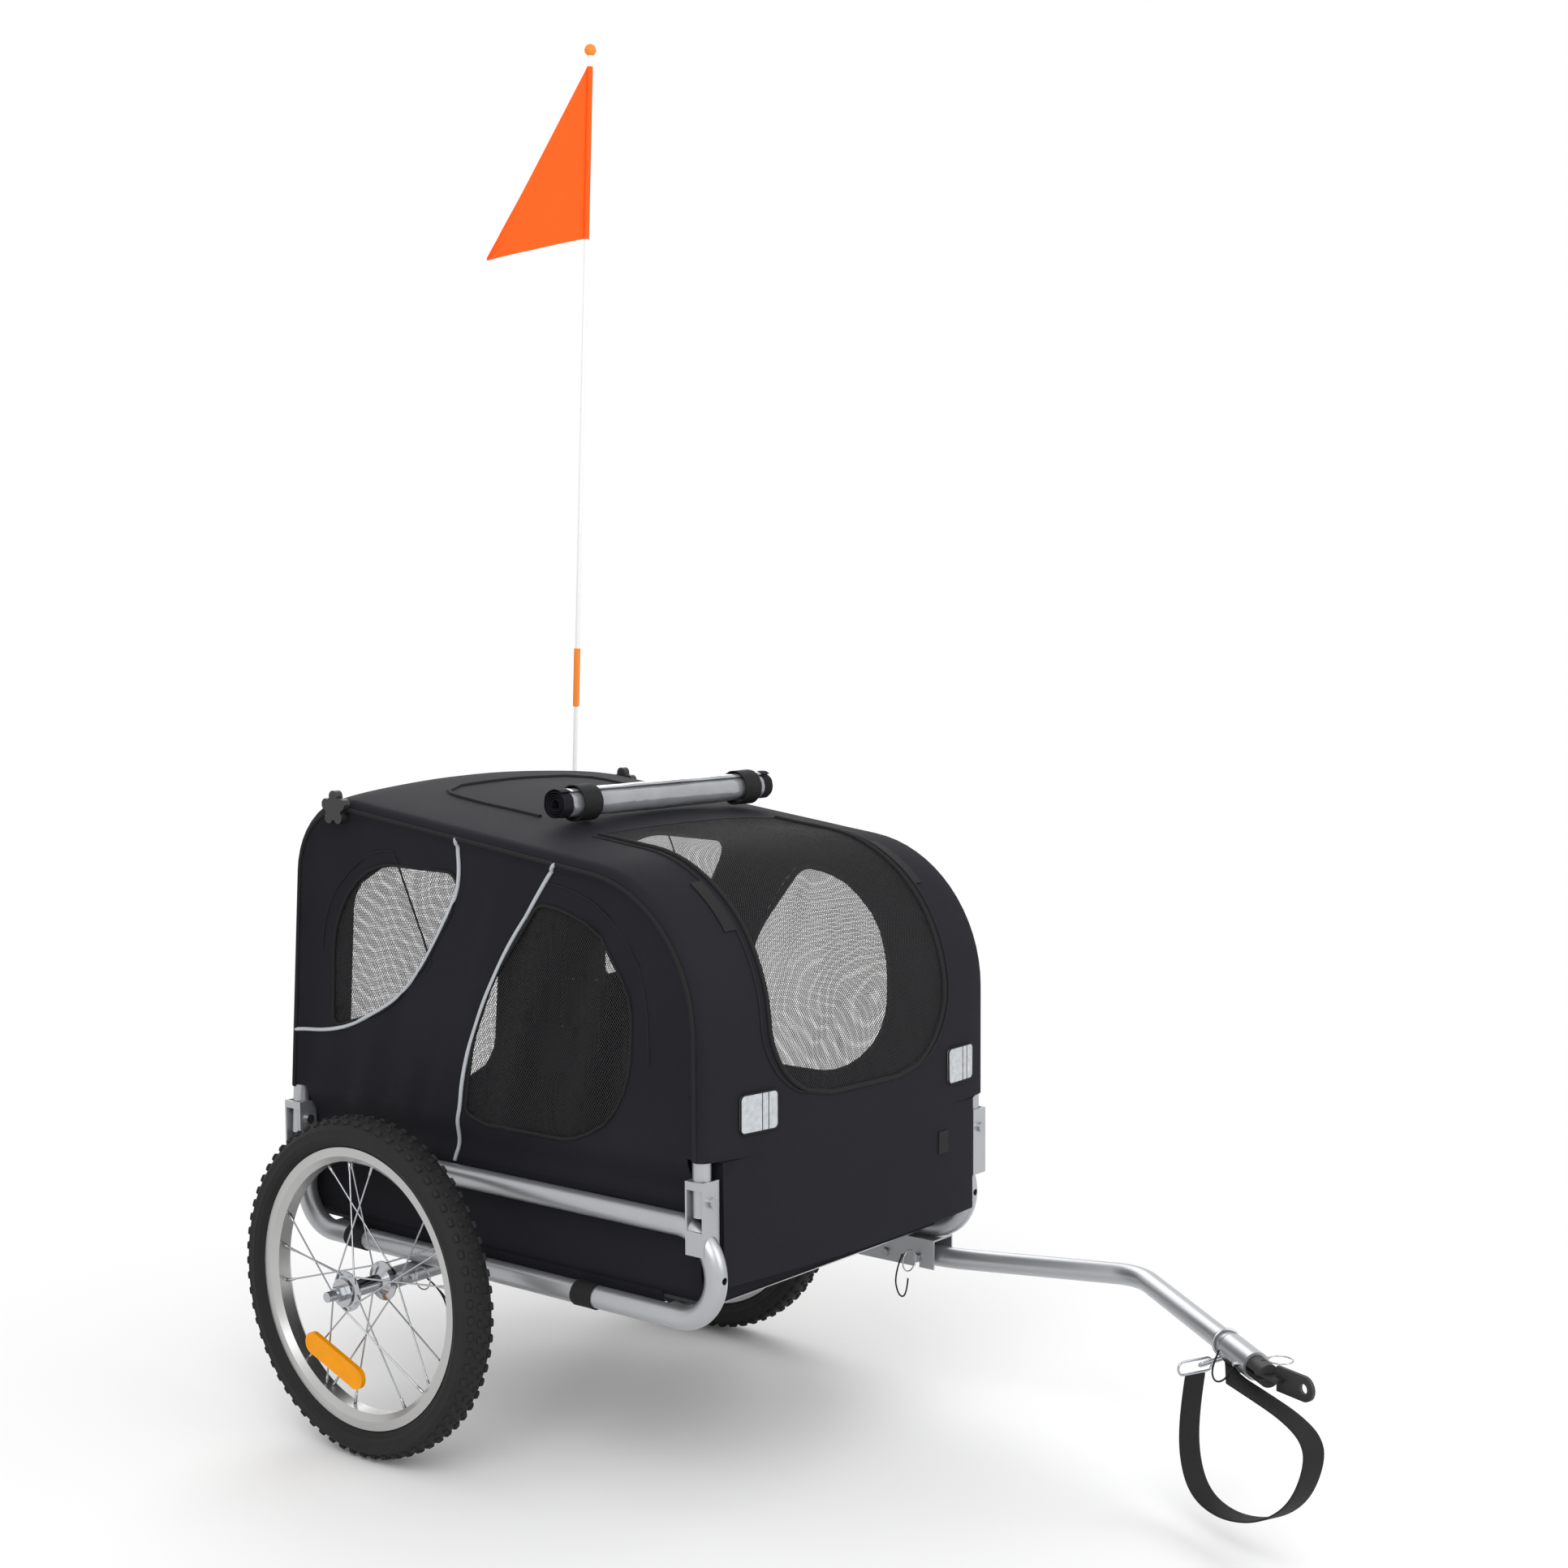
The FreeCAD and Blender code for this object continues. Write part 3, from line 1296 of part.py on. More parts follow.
def pennant():
    """Triangular flag with a sleeve round the pole and a shallow wave toward its tip."""
    top = pole_point(d.pole_top - d.ball_radius - d.pennant_top_gap)
    low = pole_point(top.z - d.pennant_hoist)
    fly = direction(d.pennant_yaw)
    bulge = UP.cross(fly) * d.pennant_wave
    tip = low + fly * d.pennant_reach - UP * d.pennant_droop
    start = fly * (d.pole_dia / 2)
    thick = UP.cross(fly) * d.pennant_thick
    upper = Part.BSplineCurve()
    upper.interpolate([top + start, (top + tip) / 2 + bulge, tip])
    lower = Part.BSplineCurve()
    lower.interpolate([low + start, (low + tip) / 2 + bulge, tip + fly * 0.5 - UP])
    cloth = Part.makeRuledSurface(upper.toShape(), lower.toShape()).extrude(thick)
    sleeve = pipe(low, top, d.pole_dia / 2 + 1.2, d.pole_dia / 2 + 0.2)
    return sleeve.fuse(cloth.cut(rod(low, top, d.pole_dia / 2 + 0.2))).removeSplitter()


half_connector = d.connector_length / 2
solid("flag_socket", flag_socket())
solid(
    "flag_poles",
    rod(pole_point(d.pole_base), pole_point(d.pole_join), d.pole_dia / 2),
    rod(pole_point(d.pole_join + 0.1), pole_point(d.pole_top - d.ball_radius / 2), d.pole_dia / 2),
)
solid(
    "pole_connector",
    pipe(pole_point(d.pole_join - half_connector), pole_point(d.pole_join + half_connector),
         d.connector_dia / 2, d.pole_dia / 2 + 0.05),
)
ball_seat = rod(
    pole_point(d.pole_top - 2 * d.ball_radius),
    pole_point(d.pole_top - d.ball_radius / 2),
    d.pole_dia / 2 + 0.05,
)
solid("flag_ball", Part.makeSphere(d.ball_radius, pole_point(d.pole_top)).cut(ball_seat))
solid("pennant", pennant())

# Origin half-way along, then checks and files
doc.recompute()
boxes = [piece.Shape.BoundBox for piece in parts]
middle = (min(box.XMin for box in boxes) + max(box.XMax for box in boxes)) / 2
sheet.set("B%d" % shift_cell, str(round(-middle, 3)))
doc.recompute()
for item in doc.Objects:
    if "Invalid" in item.State or "Error" in item.State:
        raise RuntimeError("object failed: %s %s" % (item.Label, item.State))
for piece in parts:
    if piece.Shape.isNull() or not piece.Shape.isValid() or not piece.Shape.Solids:
        raise RuntimeError("bad shape: %s" % piece.Label)
os.makedirs("parts", exist_ok=True)
for piece in parts:
    piece.Shape.exportStep(os.path.join("parts", piece.Label + ".step"))
print(len(parts), "sub-parts", "origin shift", round(-middle, 2))
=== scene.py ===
"""Dresses the dog bike trailer: sewn cover, mesh windows, tyres, straps, flag and a studio stage."""
import json
import math

import bpy
from mathutils import Matrix, Vector, noise, kdtree


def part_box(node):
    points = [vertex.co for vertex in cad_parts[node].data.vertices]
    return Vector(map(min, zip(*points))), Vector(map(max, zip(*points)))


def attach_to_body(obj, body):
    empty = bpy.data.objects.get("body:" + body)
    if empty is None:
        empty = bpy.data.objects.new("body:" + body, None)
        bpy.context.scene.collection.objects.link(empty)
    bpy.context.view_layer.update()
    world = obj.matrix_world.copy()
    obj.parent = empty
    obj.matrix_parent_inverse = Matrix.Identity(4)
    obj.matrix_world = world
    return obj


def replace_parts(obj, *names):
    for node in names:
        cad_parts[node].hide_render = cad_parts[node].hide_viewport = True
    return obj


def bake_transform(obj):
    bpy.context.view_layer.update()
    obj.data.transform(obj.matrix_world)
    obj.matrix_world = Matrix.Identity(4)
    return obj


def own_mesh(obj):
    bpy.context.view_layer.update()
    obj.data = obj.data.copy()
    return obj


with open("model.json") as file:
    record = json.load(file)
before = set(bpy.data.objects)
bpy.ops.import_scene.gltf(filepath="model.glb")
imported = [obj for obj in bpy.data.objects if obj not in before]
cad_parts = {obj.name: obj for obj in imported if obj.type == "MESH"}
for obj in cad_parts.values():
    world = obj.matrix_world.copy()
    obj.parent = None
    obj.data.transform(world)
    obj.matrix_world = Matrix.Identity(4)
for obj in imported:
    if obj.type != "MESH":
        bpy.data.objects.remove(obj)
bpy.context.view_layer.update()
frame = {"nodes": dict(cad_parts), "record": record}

bl_info = {
    "name": "Dog bike trailer",
    "version": (1, 0, 0),
    "blender": (4, 5, 0),
    "location": "View3D > Sidebar > Trailer",
    "description": "Builds the soft and detailed pieces of a dog bike trailer on its solid frame",
    "category": "Object",
}

SIDES = (("right", -1), ("left", 1))
UP = Vector((0, 0, 1))


def middle(part):
    """Middle of a frame node's box."""
    low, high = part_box(part)
    return (Vector(low) + Vector(high)) / 2


# Places that the pieces of the cover share, in metres: SHIFT is the axle's, PIVOT the right hoop's
SHIFT = middle("tyre_right").x
PIVOT = next(joint["pos_m"] for joint in frame["record"]["behaviour"]["joints"] if joint["name"] == "fold")
FOLD_HEIGHT = PIVOT[2]
RAIL = -PIVOT[1]
ROOF_SLOPE = 0.125
ROOF_MARK = 0.072
BACK_LEAN = 0.073
BRACKET_TOP = FOLD_HEIGHT + 0.040
BRACKET_EDGE = 0.2172
SLACK_EDGE = RAIL + 0.010
SLACK_RUN = 0.03
NET_DEPTH = -0.0006
FACING_WIDTH = 0.011

# Round trims as (radius, how far their middle stands off the cloth)
DOOR_ZIP = (0.0030, 0.0004)
DOOR_FACING = (0.0016, 0.0002)
HATCH_ZIP = (0.0026, 0.0004)
BACK_TAPE = (0.0024, 0.0004)
SIDE_TAPE = (0.0021, 0.0004)
SIDE_SEAM = (0.0012, 0.0001)
SIDE_PIPING = (0.0024, 0.0012)
HOOP_WELT = (0.0026, 0.0002)

# How the cover's grids are divided: places along it go from 0 to 5, about TURN_LENGTH metres each
REAR_SEAM = 3.75
ROW_GAP = 0.004
SIDE_COLUMNS = 9
HOLE_COLUMNS = 16
TURN_LENGTH = 0.26


def length(name, default, words):
    """A size property in metres."""
    return bpy.props.FloatProperty(name=name, description=words, default=default, unit="LENGTH", precision=4)


def tint(name, default, words):
    """A colour property."""
    return bpy.props.FloatVectorProperty(
        name=name, description=words, default=default, size=3, min=0, max=1, subtype="COLOR"
    )


class TrailerSizes(bpy.types.PropertyGroup):
    """Sizes of the sewn cover and its openings."""

    front: length("Front post", 0.46475, "Middle of the two front posts, forward of the axle")
    rear: length("Rear post", -0.21475, "Middle of the two rear posts, forward of the axle")
    nest: length("Nesting", 0.0235, "How much longer the left hoop is at each end")
    peak: length("Roof height", 0.742, "Height of the roof line at its reference place")
    arch: length("Front arch", 0.166, "Radius of the hoops' front bend")
    shoulder: length("Rear bend", 0.083, "Radius of the hoops' rear bend")
    skin: length("Cover offset", 0.0119, "From a hoop's middle to the cover's outer face")
    crown: length("Crown", 0.014, "How far the cover stands out between the hoops")
    hem: length("Hem height", 0.262, "Height of the front and rear hems")
    door_sill: length("Door sill", 0.448, "Height of the front door's lower edge")
    door_width: length("Door half width", 0.152, "Half of the front door's width")
    door_corner: length("Door corner", 0.095, "Radius of the door's lower corners")
    door_hinge: length("Door hinge", 0.238, "The door's upper edge, forward of the axle")
    hatch_front: length("Hatch front", 0.128, "Front edge of the roof hatch, forward of the axle")
    hatch_rear: length("Hatch rear", -0.060, "Rear edge of the roof hatch")
    hatch_width: length("Hatch half width", 0.140, "Half of the hatch's width")
    hatch_corner: length("Hatch corner", 0.045, "Radius of the hatch's rear corners")
    wrinkle: length("Wrinkles", 0.0022, "Height of the slack in the cloth")
    cloth: length("Cloth", 0.0012, "Thickness of the cover's cloth")
    net: length("Net", 0.0003, "Thickness of the window nets")
    back_sill: length("Rear window sill", 0.348, "Height of the rear window's lower edge")
    back_top: length("Rear window top", 0.655, "Height of the rear window's upper edge")
    back_width: length("Rear window half width", 0.137, "Half of the rear window's width")
    back_corner: length("Rear window corner", 0.050, "Radius of the rear window's corners")
    ridge: length("Hoop ridge", 0.0098, "How far in from a hoop's line the cloth still follows its tube")
    sleeve: length("Sleeve", 0.0110, "Radius of the sleeve inside the cover that a hoop runs in")
    gusset: length("Gusset", 0.2160, "Distance from the middle of the cloth behind the hinge brackets")
    tuck: length("Tuck", 0.0237, "How far the side cloth goes in behind the upper rail")


class TrailerColours(bpy.types.PropertyGroup):
    """Colours of the finishes."""

    cloth: tint("Cloth", (0.0128, 0.0128, 0.0168), "Black coated cloth")
    net: tint("Net", (0.042, 0.042, 0.044), "Threads of the windows")
    webbing: tint("Webbing", (0.012, 0.012, 0.013), "Straps and bindings")
    piping: tint("Piping", (0.42, 0.44, 0.47), "Reflective piping on the sides")
    silver: tint("Silver paint", (0.41, 0.42, 0.435), "Frame tubes and tow bar")
    zinc: tint("Zinc", (0.44, 0.45, 0.47), "Bolts, pins and spokes")
    alloy: tint("Alloy", (0.47, 0.47, 0.465), "Rims")
    rubber: tint("Rubber", (0.014, 0.014, 0.015), "Tyres and rubber core")
    amber: tint("Amber", (0.86, 0.31, 0.0), "Wheel reflectors")
    orange: tint("Orange", (1.0, 0.105, 0.008), "Pennant")
    connector: tint("Orange plastic", (0.86, 0.23, 0.012), "Flag connector and ball")
    pole: tint("Pole", (0.80, 0.81, 0.81), "Flag rods")
    clear: tint("Clear sheet", (0.29, 0.30, 0.315), "Rolled rain cover")
    plastic: tint("Black plastic", (0.013, 0.013, 0.014), "Knobs and hitch plate")
    prism: tint("Prism", (0.46, 0.48, 0.51), "Reflective tabs on the front")
    board: tint("Board", (0.03, 0.03, 0.032), "Covered floor board")


def sizes():
    """The trailer's sizes, which hang on the scene."""
    return bpy.context.scene.trailer_sizes


# Object helpers
def deselect():
    """Leaves nothing selected."""
    bpy.ops.object.select_all(action="DESELECT")


def pick(piece):
    """Makes one piece the only one selected, and active."""
    deselect()
    piece.select_set(True)
    bpy.context.view_layer.objects.active = piece


PIECE_SLOTS = {
    "net": "mesh", "binding": "webbing", "piping": "silver_tab", "rubber": "tyre", "chrome": "zinc",
    "clear": "clear_roll", "orange": "orange_cloth",
}


def settle(piece, name, finish, slot=None, smooth=50):
    """Names a finished piece and gives it its finish."""
    piece.name = name
    piece.data.materials.clear()
    piece.data.materials.append(finishes()[finish])
    pick(piece)
    bpy.ops.object.shade_smooth_by_angle(angle=math.radians(smooth))
    slot or PIECE_SLOTS.get(finish, finish)
    return piece


def attach(piece, body="chassis", node=None, sinks=True):
    """Puts a piece on its body, in place of a frame node, and gives it a mesh of its own where sinks is set.
    """
    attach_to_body(piece, body)
    if node:
        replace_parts(piece, node)
    if sinks:
        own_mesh(piece)
    return piece


def modify(piece, kind, **values):
    """Adds a modifier and applies it."""
    pick(piece)
    added = piece.modifiers.new(kind.lower(), kind)
    for key, value in values.items():
        setattr(added, key, value)
    bpy.ops.object.modifier_apply(modifier=added.name)
    return piece


def joined(pieces):
    """One object from several."""
    pick(pieces[0])
    for piece in pieces[1:]:
        piece.select_set(True)
    bpy.ops.object.join()
    return bpy.context.object


def flat_map(piece, coordinates):
    """Writes a UV map in metres from one pair for each vertex."""
    layer = piece.data.uv_layers.get("UVMap") or piece.data.uv_layers.new(name="UVMap")
    for loop in piece.data.loops:
        layer.data[loop.index].uv = coordinates[loop.vertex_index]


def thicken(piece, thick, offset=0.0):
    """Gives a surface its thickness."""
    return modify(piece, "SOLIDIFY", thickness=thick, offset=offset)


def edit(piece, *jobs):
    """Runs mesh operators, each on the whole of a piece."""
    pick(piece)
    bpy.ops.object.mode_set(mode="EDIT")
    for job, values in jobs:
        bpy.ops.mesh.select_all(action="SELECT")
        getattr(bpy.ops.mesh, job)(**values)
    bpy.ops.object.mode_set(mode="OBJECT")


def twin(piece, move):
    """A moved copy of a piece."""
    copy = piece.copy()
    copy.data = piece.data.copy()
    copy.data.transform(move)
    bpy.context.scene.collection.objects.link(copy)
    return copy


def lattice(firsts, seconds):
    """Rows of pairs, one row for each first value."""
    return [[(first, second) for second in seconds] for first in firsts]


def grid(rows, place, flat=lambda along, across: (across, along * TURN_LENGTH)):
    """A grid of rows of places along and across the cloth, put where place says and mapped as flat says."""
    deselect()
    columns = len(rows[0])
    bpy.ops.mesh.primitive_grid_add(x_subdivisions=columns - 1, y_subdivisions=len(rows) - 1, size=1)
    piece = bpy.context.object
    spots = {}
    for vertex in piece.data.vertices:
        row, column = divmod(vertex.index, columns)
        spots[vertex.index] = flat(*rows[row][column])
        vertex.co = place(*rows[row][column])
    flat_map(piece, spots)
    return piece


def curve_piece(name, kind, drawn, closed=False, **settings):
    """A curve with one spline for each list of points."""
    curve = bpy.data.curves.new(name, "CURVE")
    for key, value in settings.items():
        setattr(curve, key, value)
    for points in drawn:
        spline = curve.splines.new(kind)
        spline.points.add(len(points) - 1)
        for knot, point in zip(spline.points, points):
            knot.co = (*point, 1)
        spline.use_cyclic_u = closed
    piece = bpy.data.objects.new(name, curve)
    bpy.context.scene.collection.objects.link(piece)
    return piece


def as_mesh(piece):
    """A curve turned into a mesh."""
    pick(piece)
    bpy.ops.object.convert(target="MESH")
    return bpy.context.object


def wire(points, thick, closed=False):
    """A round trim along points, as a mesh."""
    return as_mesh(curve_piece(
        "trim", "POLY", [points], closed,
        dimensions="3D", bevel_depth=thick, bevel_resolution=3, use_fill_caps=True,
    ))


def trim(name, points, thick, body="chassis", closed=False, finish="binding"):
    """A round trim that is sewn to the cover."""
    return attach(settle(wire(points, thick, closed), name, finish), body)


# Finishes
ROUGH_VARY = 0.12
COAT_ROUGH = 0.12
NET_LEAN = 0.62
GROUPS = {}
FINISHES = {}


def supply(tree, made, inputs):
    """Feeds a node's inputs with values or with other nodes' outputs."""
    for socket, value in inputs.items():
        if isinstance(value, bpy.types.NodeSocket):
            tree.links.new(value, made.inputs[socket])
        else:
            made.inputs[socket].default_value = value
    return made


def node(tree, kind, inputs=None, **settings):
    """A shader node with its settings and its inputs fed."""
    made = tree.nodes.new("ShaderNode" + kind)
    for key, value in settings.items():
        setattr(made, key, value)
    return supply(tree, made, inputs or {})


def maths(tree, operation, *values):
    """Result of a maths node fed by sockets or numbers."""
    return node(tree, "Math", dict(enumerate(values)), operation=operation).outputs[0]


def group(name, inputs, outputs, build):
    """A shader node group with named sockets."""
    tree = bpy.data.node_groups.new(name, "ShaderNodeTree")
    for socket, default in inputs:
        made = tree.interface.new_socket(socket, in_out="INPUT", socket_type="NodeSocketFloat")
        made.default_value = default
    for socket in outputs:
        tree.interface.new_socket(socket, in_out="OUTPUT", socket_type="NodeSocketFloat")
    begin = tree.nodes.new("NodeGroupInput")
    end = tree.nodes.new("NodeGroupOutput")
    build(tree, begin, end)
    return tree


def grain(tree, begin, end):
    """Fine noise and broad patches on Object coordinates."""
    place = node(tree, "TexCoord").outputs["Object"]
    for label, socket, detail in (("Fine", "Fine Scale", 3.0), ("Patches", "Patch Scale", 2.0)):
        inputs = {"Detail": detail, "Vector": place, "Scale": begin.outputs[socket]}
        tree.links.new(node(tree, "TexNoise", inputs).outputs["Fac"], end.inputs[label])


def flat_axes(tree):
    """The two axes of the cloth's own flat map."""
    return node(tree, "SeparateXYZ", {0: node(tree, "UVMap").outputs["UV"]}).outputs


def weave(tree, begin, end):
    """Over-and-under threads on the cloth's own flat map."""
    axes = flat_axes(tree)
    turns = [maths(tree, "MULTIPLY", axes[axis], begin.outputs["Threads"]) for axis in ("X", "Y")]
    waves = [maths(tree, "SINE", turn) for turn in turns]
    tree.links.new(maths(tree, "MULTIPLY", *waves), end.inputs["Height"])


def net(tree, begin, end):
    """Threads of an open net: 1 on a thread, 0 in a hole."""
    axes = flat_axes(tree)
    strands = []
    for sign in (1, -1):
        slope = maths(tree, "ADD", axes["X"], maths(tree, "MULTIPLY", axes["Y"], sign * NET_LEAN))
        turn = maths(tree, "MULTIPLY", slope, begin.outputs["Threads"])
        strands.append(maths(tree, "ABSOLUTE", maths(tree, "SINE", turn)))
    thread = maths(tree, "LESS_THAN", maths(tree, "MINIMUM", *strands), begin.outputs["Width"])
    tree.links.new(thread, end.inputs["Thread"])


def groups():
    """Builds the shared node groups once."""
    if not GROUPS:
        GROUPS["grain"] = group(
            "Grain", (("Fine Scale", 300.0), ("Patch Scale", 8.0)), ("Fine", "Patches"), grain
        )
        GROUPS["weave"] = group("Weave", (("Threads", 4200.0),), ("Height",), weave)
        GROUPS["net"] = group("Net", (("Threads", 1250.0), ("Width", 0.5)), ("Thread",), net)
    return GROUPS


def finish_of(name, colour, rough, metallic=0.0, vary=0.12, fine=300.0, patch=8.0, bump=0.1, depth=0.0006,
              woven=None, netted=None, coat=0.0, shine=0.5):
    """A finish with grain, patches, and a weave or a net where asked."""
    material = bpy.data.materials.new(name)
    material.use_nodes = True
    tree = material.node_tree
    scales = {"Fine Scale": fine, "Patch Scale": patch}
    surface = node(tree, "Group", scales, node_tree=groups()["grain"]).outputs
    shades = {
        "A": (*[channel * (1 - vary) for channel in colour], 1),
        "B": (*[min(channel * (1 + vary), 1) for channel in colour], 1),
        "Factor": surface["Patches"],
    }
    height = surface["Fine"]
    if woven:
        threads = node(tree, "Group", {"Threads": woven}, node_tree=groups()["weave"])
        height = maths(tree, "ADD", maths(tree, "MULTIPLY", height, 0.5), threads.outputs["Height"])
    raised = node(tree, "Bump", {"Strength": bump, "Distance": depth, "Height": height})
    inputs = {
        "Metallic": metallic, "Coat Weight": coat, "Coat Roughness": COAT_ROUGH, "Specular IOR Level": shine,
        "Base Color": node(tree, "Mix", shades, data_type="RGBA").outputs["Result"],
        "Roughness": maths(tree, "MULTIPLY_ADD", surface["Patches"], ROUGH_VARY, rough - ROUGH_VARY / 2),
        "Normal": raised.outputs["Normal"],
    }
    if netted:
        threads = {"Threads": netted[0], "Width": netted[1]}
        inputs["Alpha"] = node(tree, "Group", threads, node_tree=groups()["net"]).outputs["Thread"]
    supply(tree, tree.nodes["Principled BSDF"], inputs)
    return material


def finishes():
    """Every finish of the trailer, built once."""
    if FINISHES:
        return FINISHES
    hue = bpy.context.scene.trailer_colours
    FINISHES.update(
        cloth=finish_of("Black cloth", hue.cloth, 0.72, vary=0.25, fine=90, patch=5, bump=0.22, depth=0.0008,
                        woven=4200, shine=0.10),
        binding=finish_of("Binding tape", hue.webbing, 0.75, fine=400, bump=0.3, woven=2600, shine=0.2),
        net=finish_of("Window net", hue.net, 0.7, netted=(1050, 0.22), shine=0.2),
        webbing=finish_of("Webbing", hue.webbing, 0.7, fine=500, bump=0.45, woven=1900, shine=0.2),
        piping=finish_of("Reflective piping", hue.piping, 0.38, fine=600, bump=0.15),
        silver=finish_of("Silver paint", hue.silver, 0.36, metallic=0.75, vary=0.05, fine=900, patch=14,
                         bump=0.03, coat=0.25),
        zinc=finish_of("Bright zinc", hue.zinc, 0.26, metallic=1.0, vary=0.10, fine=700, patch=40, bump=0.04),
        chrome=finish_of("Plated steel", hue.zinc, 0.14, metallic=1.0, vary=0.05, fine=500, bump=0.02),
        alloy=finish_of("Rim alloy", hue.alloy, 0.30, metallic=1.0, vary=0.06, fine=800, patch=20, bump=0.05),
        rubber=finish_of("Tyre rubber", hue.rubber, 0.74, vary=0.3, fine=500, patch=30, bump=0.18,
                         shine=0.25),
        core=finish_of("Core rubber", hue.rubber, 0.55, fine=700, bump=0.1),
        amber=finish_of("Amber prism", hue.amber, 0.22, vary=0.12, fine=420, patch=60, bump=0.5, depth=0.001,
                        shine=0.12),
        silver_tab=finish_of("Silver prism", hue.prism, 0.24, vary=0.30, fine=330, patch=160, bump=0.4,
                             metallic=0.35, coat=0.4),
        orange=finish_of("Orange cloth", hue.orange, 0.62, vary=0.03, fine=500, bump=0.12, woven=3000,
                         shine=0.15),
        orange_plastic=finish_of("Orange plastic", hue.connector, 0.4, vary=0.06, fine=600, bump=0.05),
        pole=finish_of("White rod", hue.pole, 0.45, vary=0.03, fine=900, bump=0.04),
        clear=finish_of("Clear roll", hue.clear, 0.16, vary=0.30, fine=36, patch=18, bump=0.6, depth=0.004,
                        coat=0.8, metallic=0.25),
        plastic=finish_of("Black plastic", hue.plastic, 0.46, vary=0.2, fine=900, bump=0.12),
        plate=finish_of("Black powder coat", hue.plastic, 0.5, vary=0.2, fine=1400, bump=0.2),
        board=finish_of("Covered board", hue.board, 0.7, fine=300, bump=0.2),
    )
    return FINISHES


# Shape of the cover
def corner_arc(before, corner, after, radius):
    """Start, end and middle of the arc that rounds a corner."""
    back = (before - corner).normalized()
    ahead = (after - corner).normalized()
    half = back.angle(ahead) / 2
    reach = radius / math.tan(half)
    centre = corner + (back + ahead).normalized() * (radius / math.sin(half))
    return corner + back * reach, corner + ahead * reach, centre


def roof_line(x):
    """Height of the hoops' roof run."""
    return sizes().peak - ROOF_SLOPE * (x + ROOF_MARK)


def hoop_ends(share):
    """Front and rear ends of the cover at a share of the way from its middle to the left hoop."""
    size = sizes()
    nest = share * size.nest / 2
    return size.front + nest, size.rear - nest


def profile(front, rear, offset, turn):
    """Point of the cover's side view: 0 to 5 along front, arch, roof, rear bend and back."""
    size = sizes()
    lift = offset * math.sqrt(1 + ROOF_SLOPE * ROOF_SLOPE)
    face = front + offset
    back = rear - offset * math.sqrt(1 + BACK_LEAN * BACK_LEAN)
    crest = size.peak - ROOF_SLOPE * ROOF_MARK + lift
    rear_x = (back + BACK_LEAN * (crest - FOLD_HEIGHT)) / (1 + BACK_LEAN * ROOF_SLOPE)
    points = [
        Vector((face, size.hem)),
        Vector((face, roof_line(face) + lift)),
        Vector((rear_x, roof_line(rear_x) + lift)),
        Vector((back + BACK_LEAN * (size.hem - FOLD_HEIGHT), size.hem)),
    ]
    first = corner_arc(points[0], points[1], points[2], size.arch + offset)
    second = corner_arc(points[1], points[2], points[3], size.shoulder + offset)
    index = min(int(turn), 4)
    part = turn - index
    runs = {0: (points[0], first[0]), 2: (first[1], second[0]), 4: (second[1], points[3])}
    if index in runs:
        return runs[index][0].lerp(runs[index][1], part)
    start, end, centre = first if index == 1 else second
    arm = start - centre
    swing = arm.angle_signed(end - centre)
    angle = -swing * part
    return centre + Vector((
        arm.x * math.cos(angle) - arm.y * math.sin(angle),
        arm.x * math.sin(angle) + arm.y * math.cos(angle),
    ))


def cover_point(turn, y, lift=0.0):
    """Point of the cover's outer face; it wraps round the hoop tubes at its two edges."""
    size = sizes()
    share = y / RAIL
    over = abs(y) - RAIL
    if over <= 0:
        offset = size.skin + size.crown * (1 - share * share)
    else:
        offset = math.sqrt(max(size.skin ** 2 - over ** 2, 0))
    place = profile(*hoop_ends(share), offset + lift, turn)
    return Vector((place.x + SHIFT, y, place.y))


def slack(point):
    """Outward slack of the cloth at a place, the same for neighbouring pieces."""
    broad = noise.noise(Vector((point.x * 7, point.y * 7, point.z * 9)))
    crease = noise.noise(Vector((point.x * 24 + point.z * 14, point.y * 10, point.z * 20)))
    return sizes().wrinkle * (0.55 + 0.6 * broad + 0.25 * crease)


def cloth_point(turn, y, lift=0.0):
    """The cover's outer face with its slack, which fades where the cloth wraps a tube."""
    base = cover_point(turn, y)
    fade = min(max((SLACK_EDGE - abs(y)) / SLACK_RUN, 0), 1)
    return cover_point(turn, y, lift + slack(base) * fade)


def turn_at_x(x):
    """Place along the cover where the roof run has an x, on the middle line."""
    low, high = 2.0, 3.0
    for _ in range(40):
        half = (low + high) / 2
        if cover_point(half, 0.0).x - SHIFT > x:
            low = half
        else:
            high = half
    return (low + high) / 2


def turn_at_height(z):
    """Place along the front face at a height."""
    top = cover_point(1.0, 0.0).z
    hem = sizes().hem
    return (z - hem) / (top - hem)


def back_turn(z):
    """Place along the rear face at a height."""
    top = cover_point(4, 0).z
    return 4 + (top - z) / (top - sizes().hem)


def steps(start, end, count):
    """Evenly spaced numbers, both ends among them."""
    return [start + (end - start) * index / count for index in range(count + 1)]


def edge_columns():
    """Columns that carry the cloth round a hoop tube, from the outside in."""
    skin = sizes().skin
    return [RAIL + skin * math.sin(math.radians(angle)) for angle in (90, 67.5, 45, 22.5)]


def panel_rows(turns, hole):
    """Rows of (turn, y): round the tube, across to the hole, across the hole, and back the same way."""
    rows = []
    for turn in turns:
        gap = hole(turn)
        outer = edge_columns() + steps(RAIL, gap, SIDE_COLUMNS)
        if beside_bracket(turn):
            outer = steps(BRACKET_EDGE, gap, len(outer) - 1)
        row = [-y for y in outer[:-1]] + steps(-gap, gap, HOLE_COLUMNS) + outer[:-1][::-1]
        rows.append([(turn, y) for y in row])
    return rows


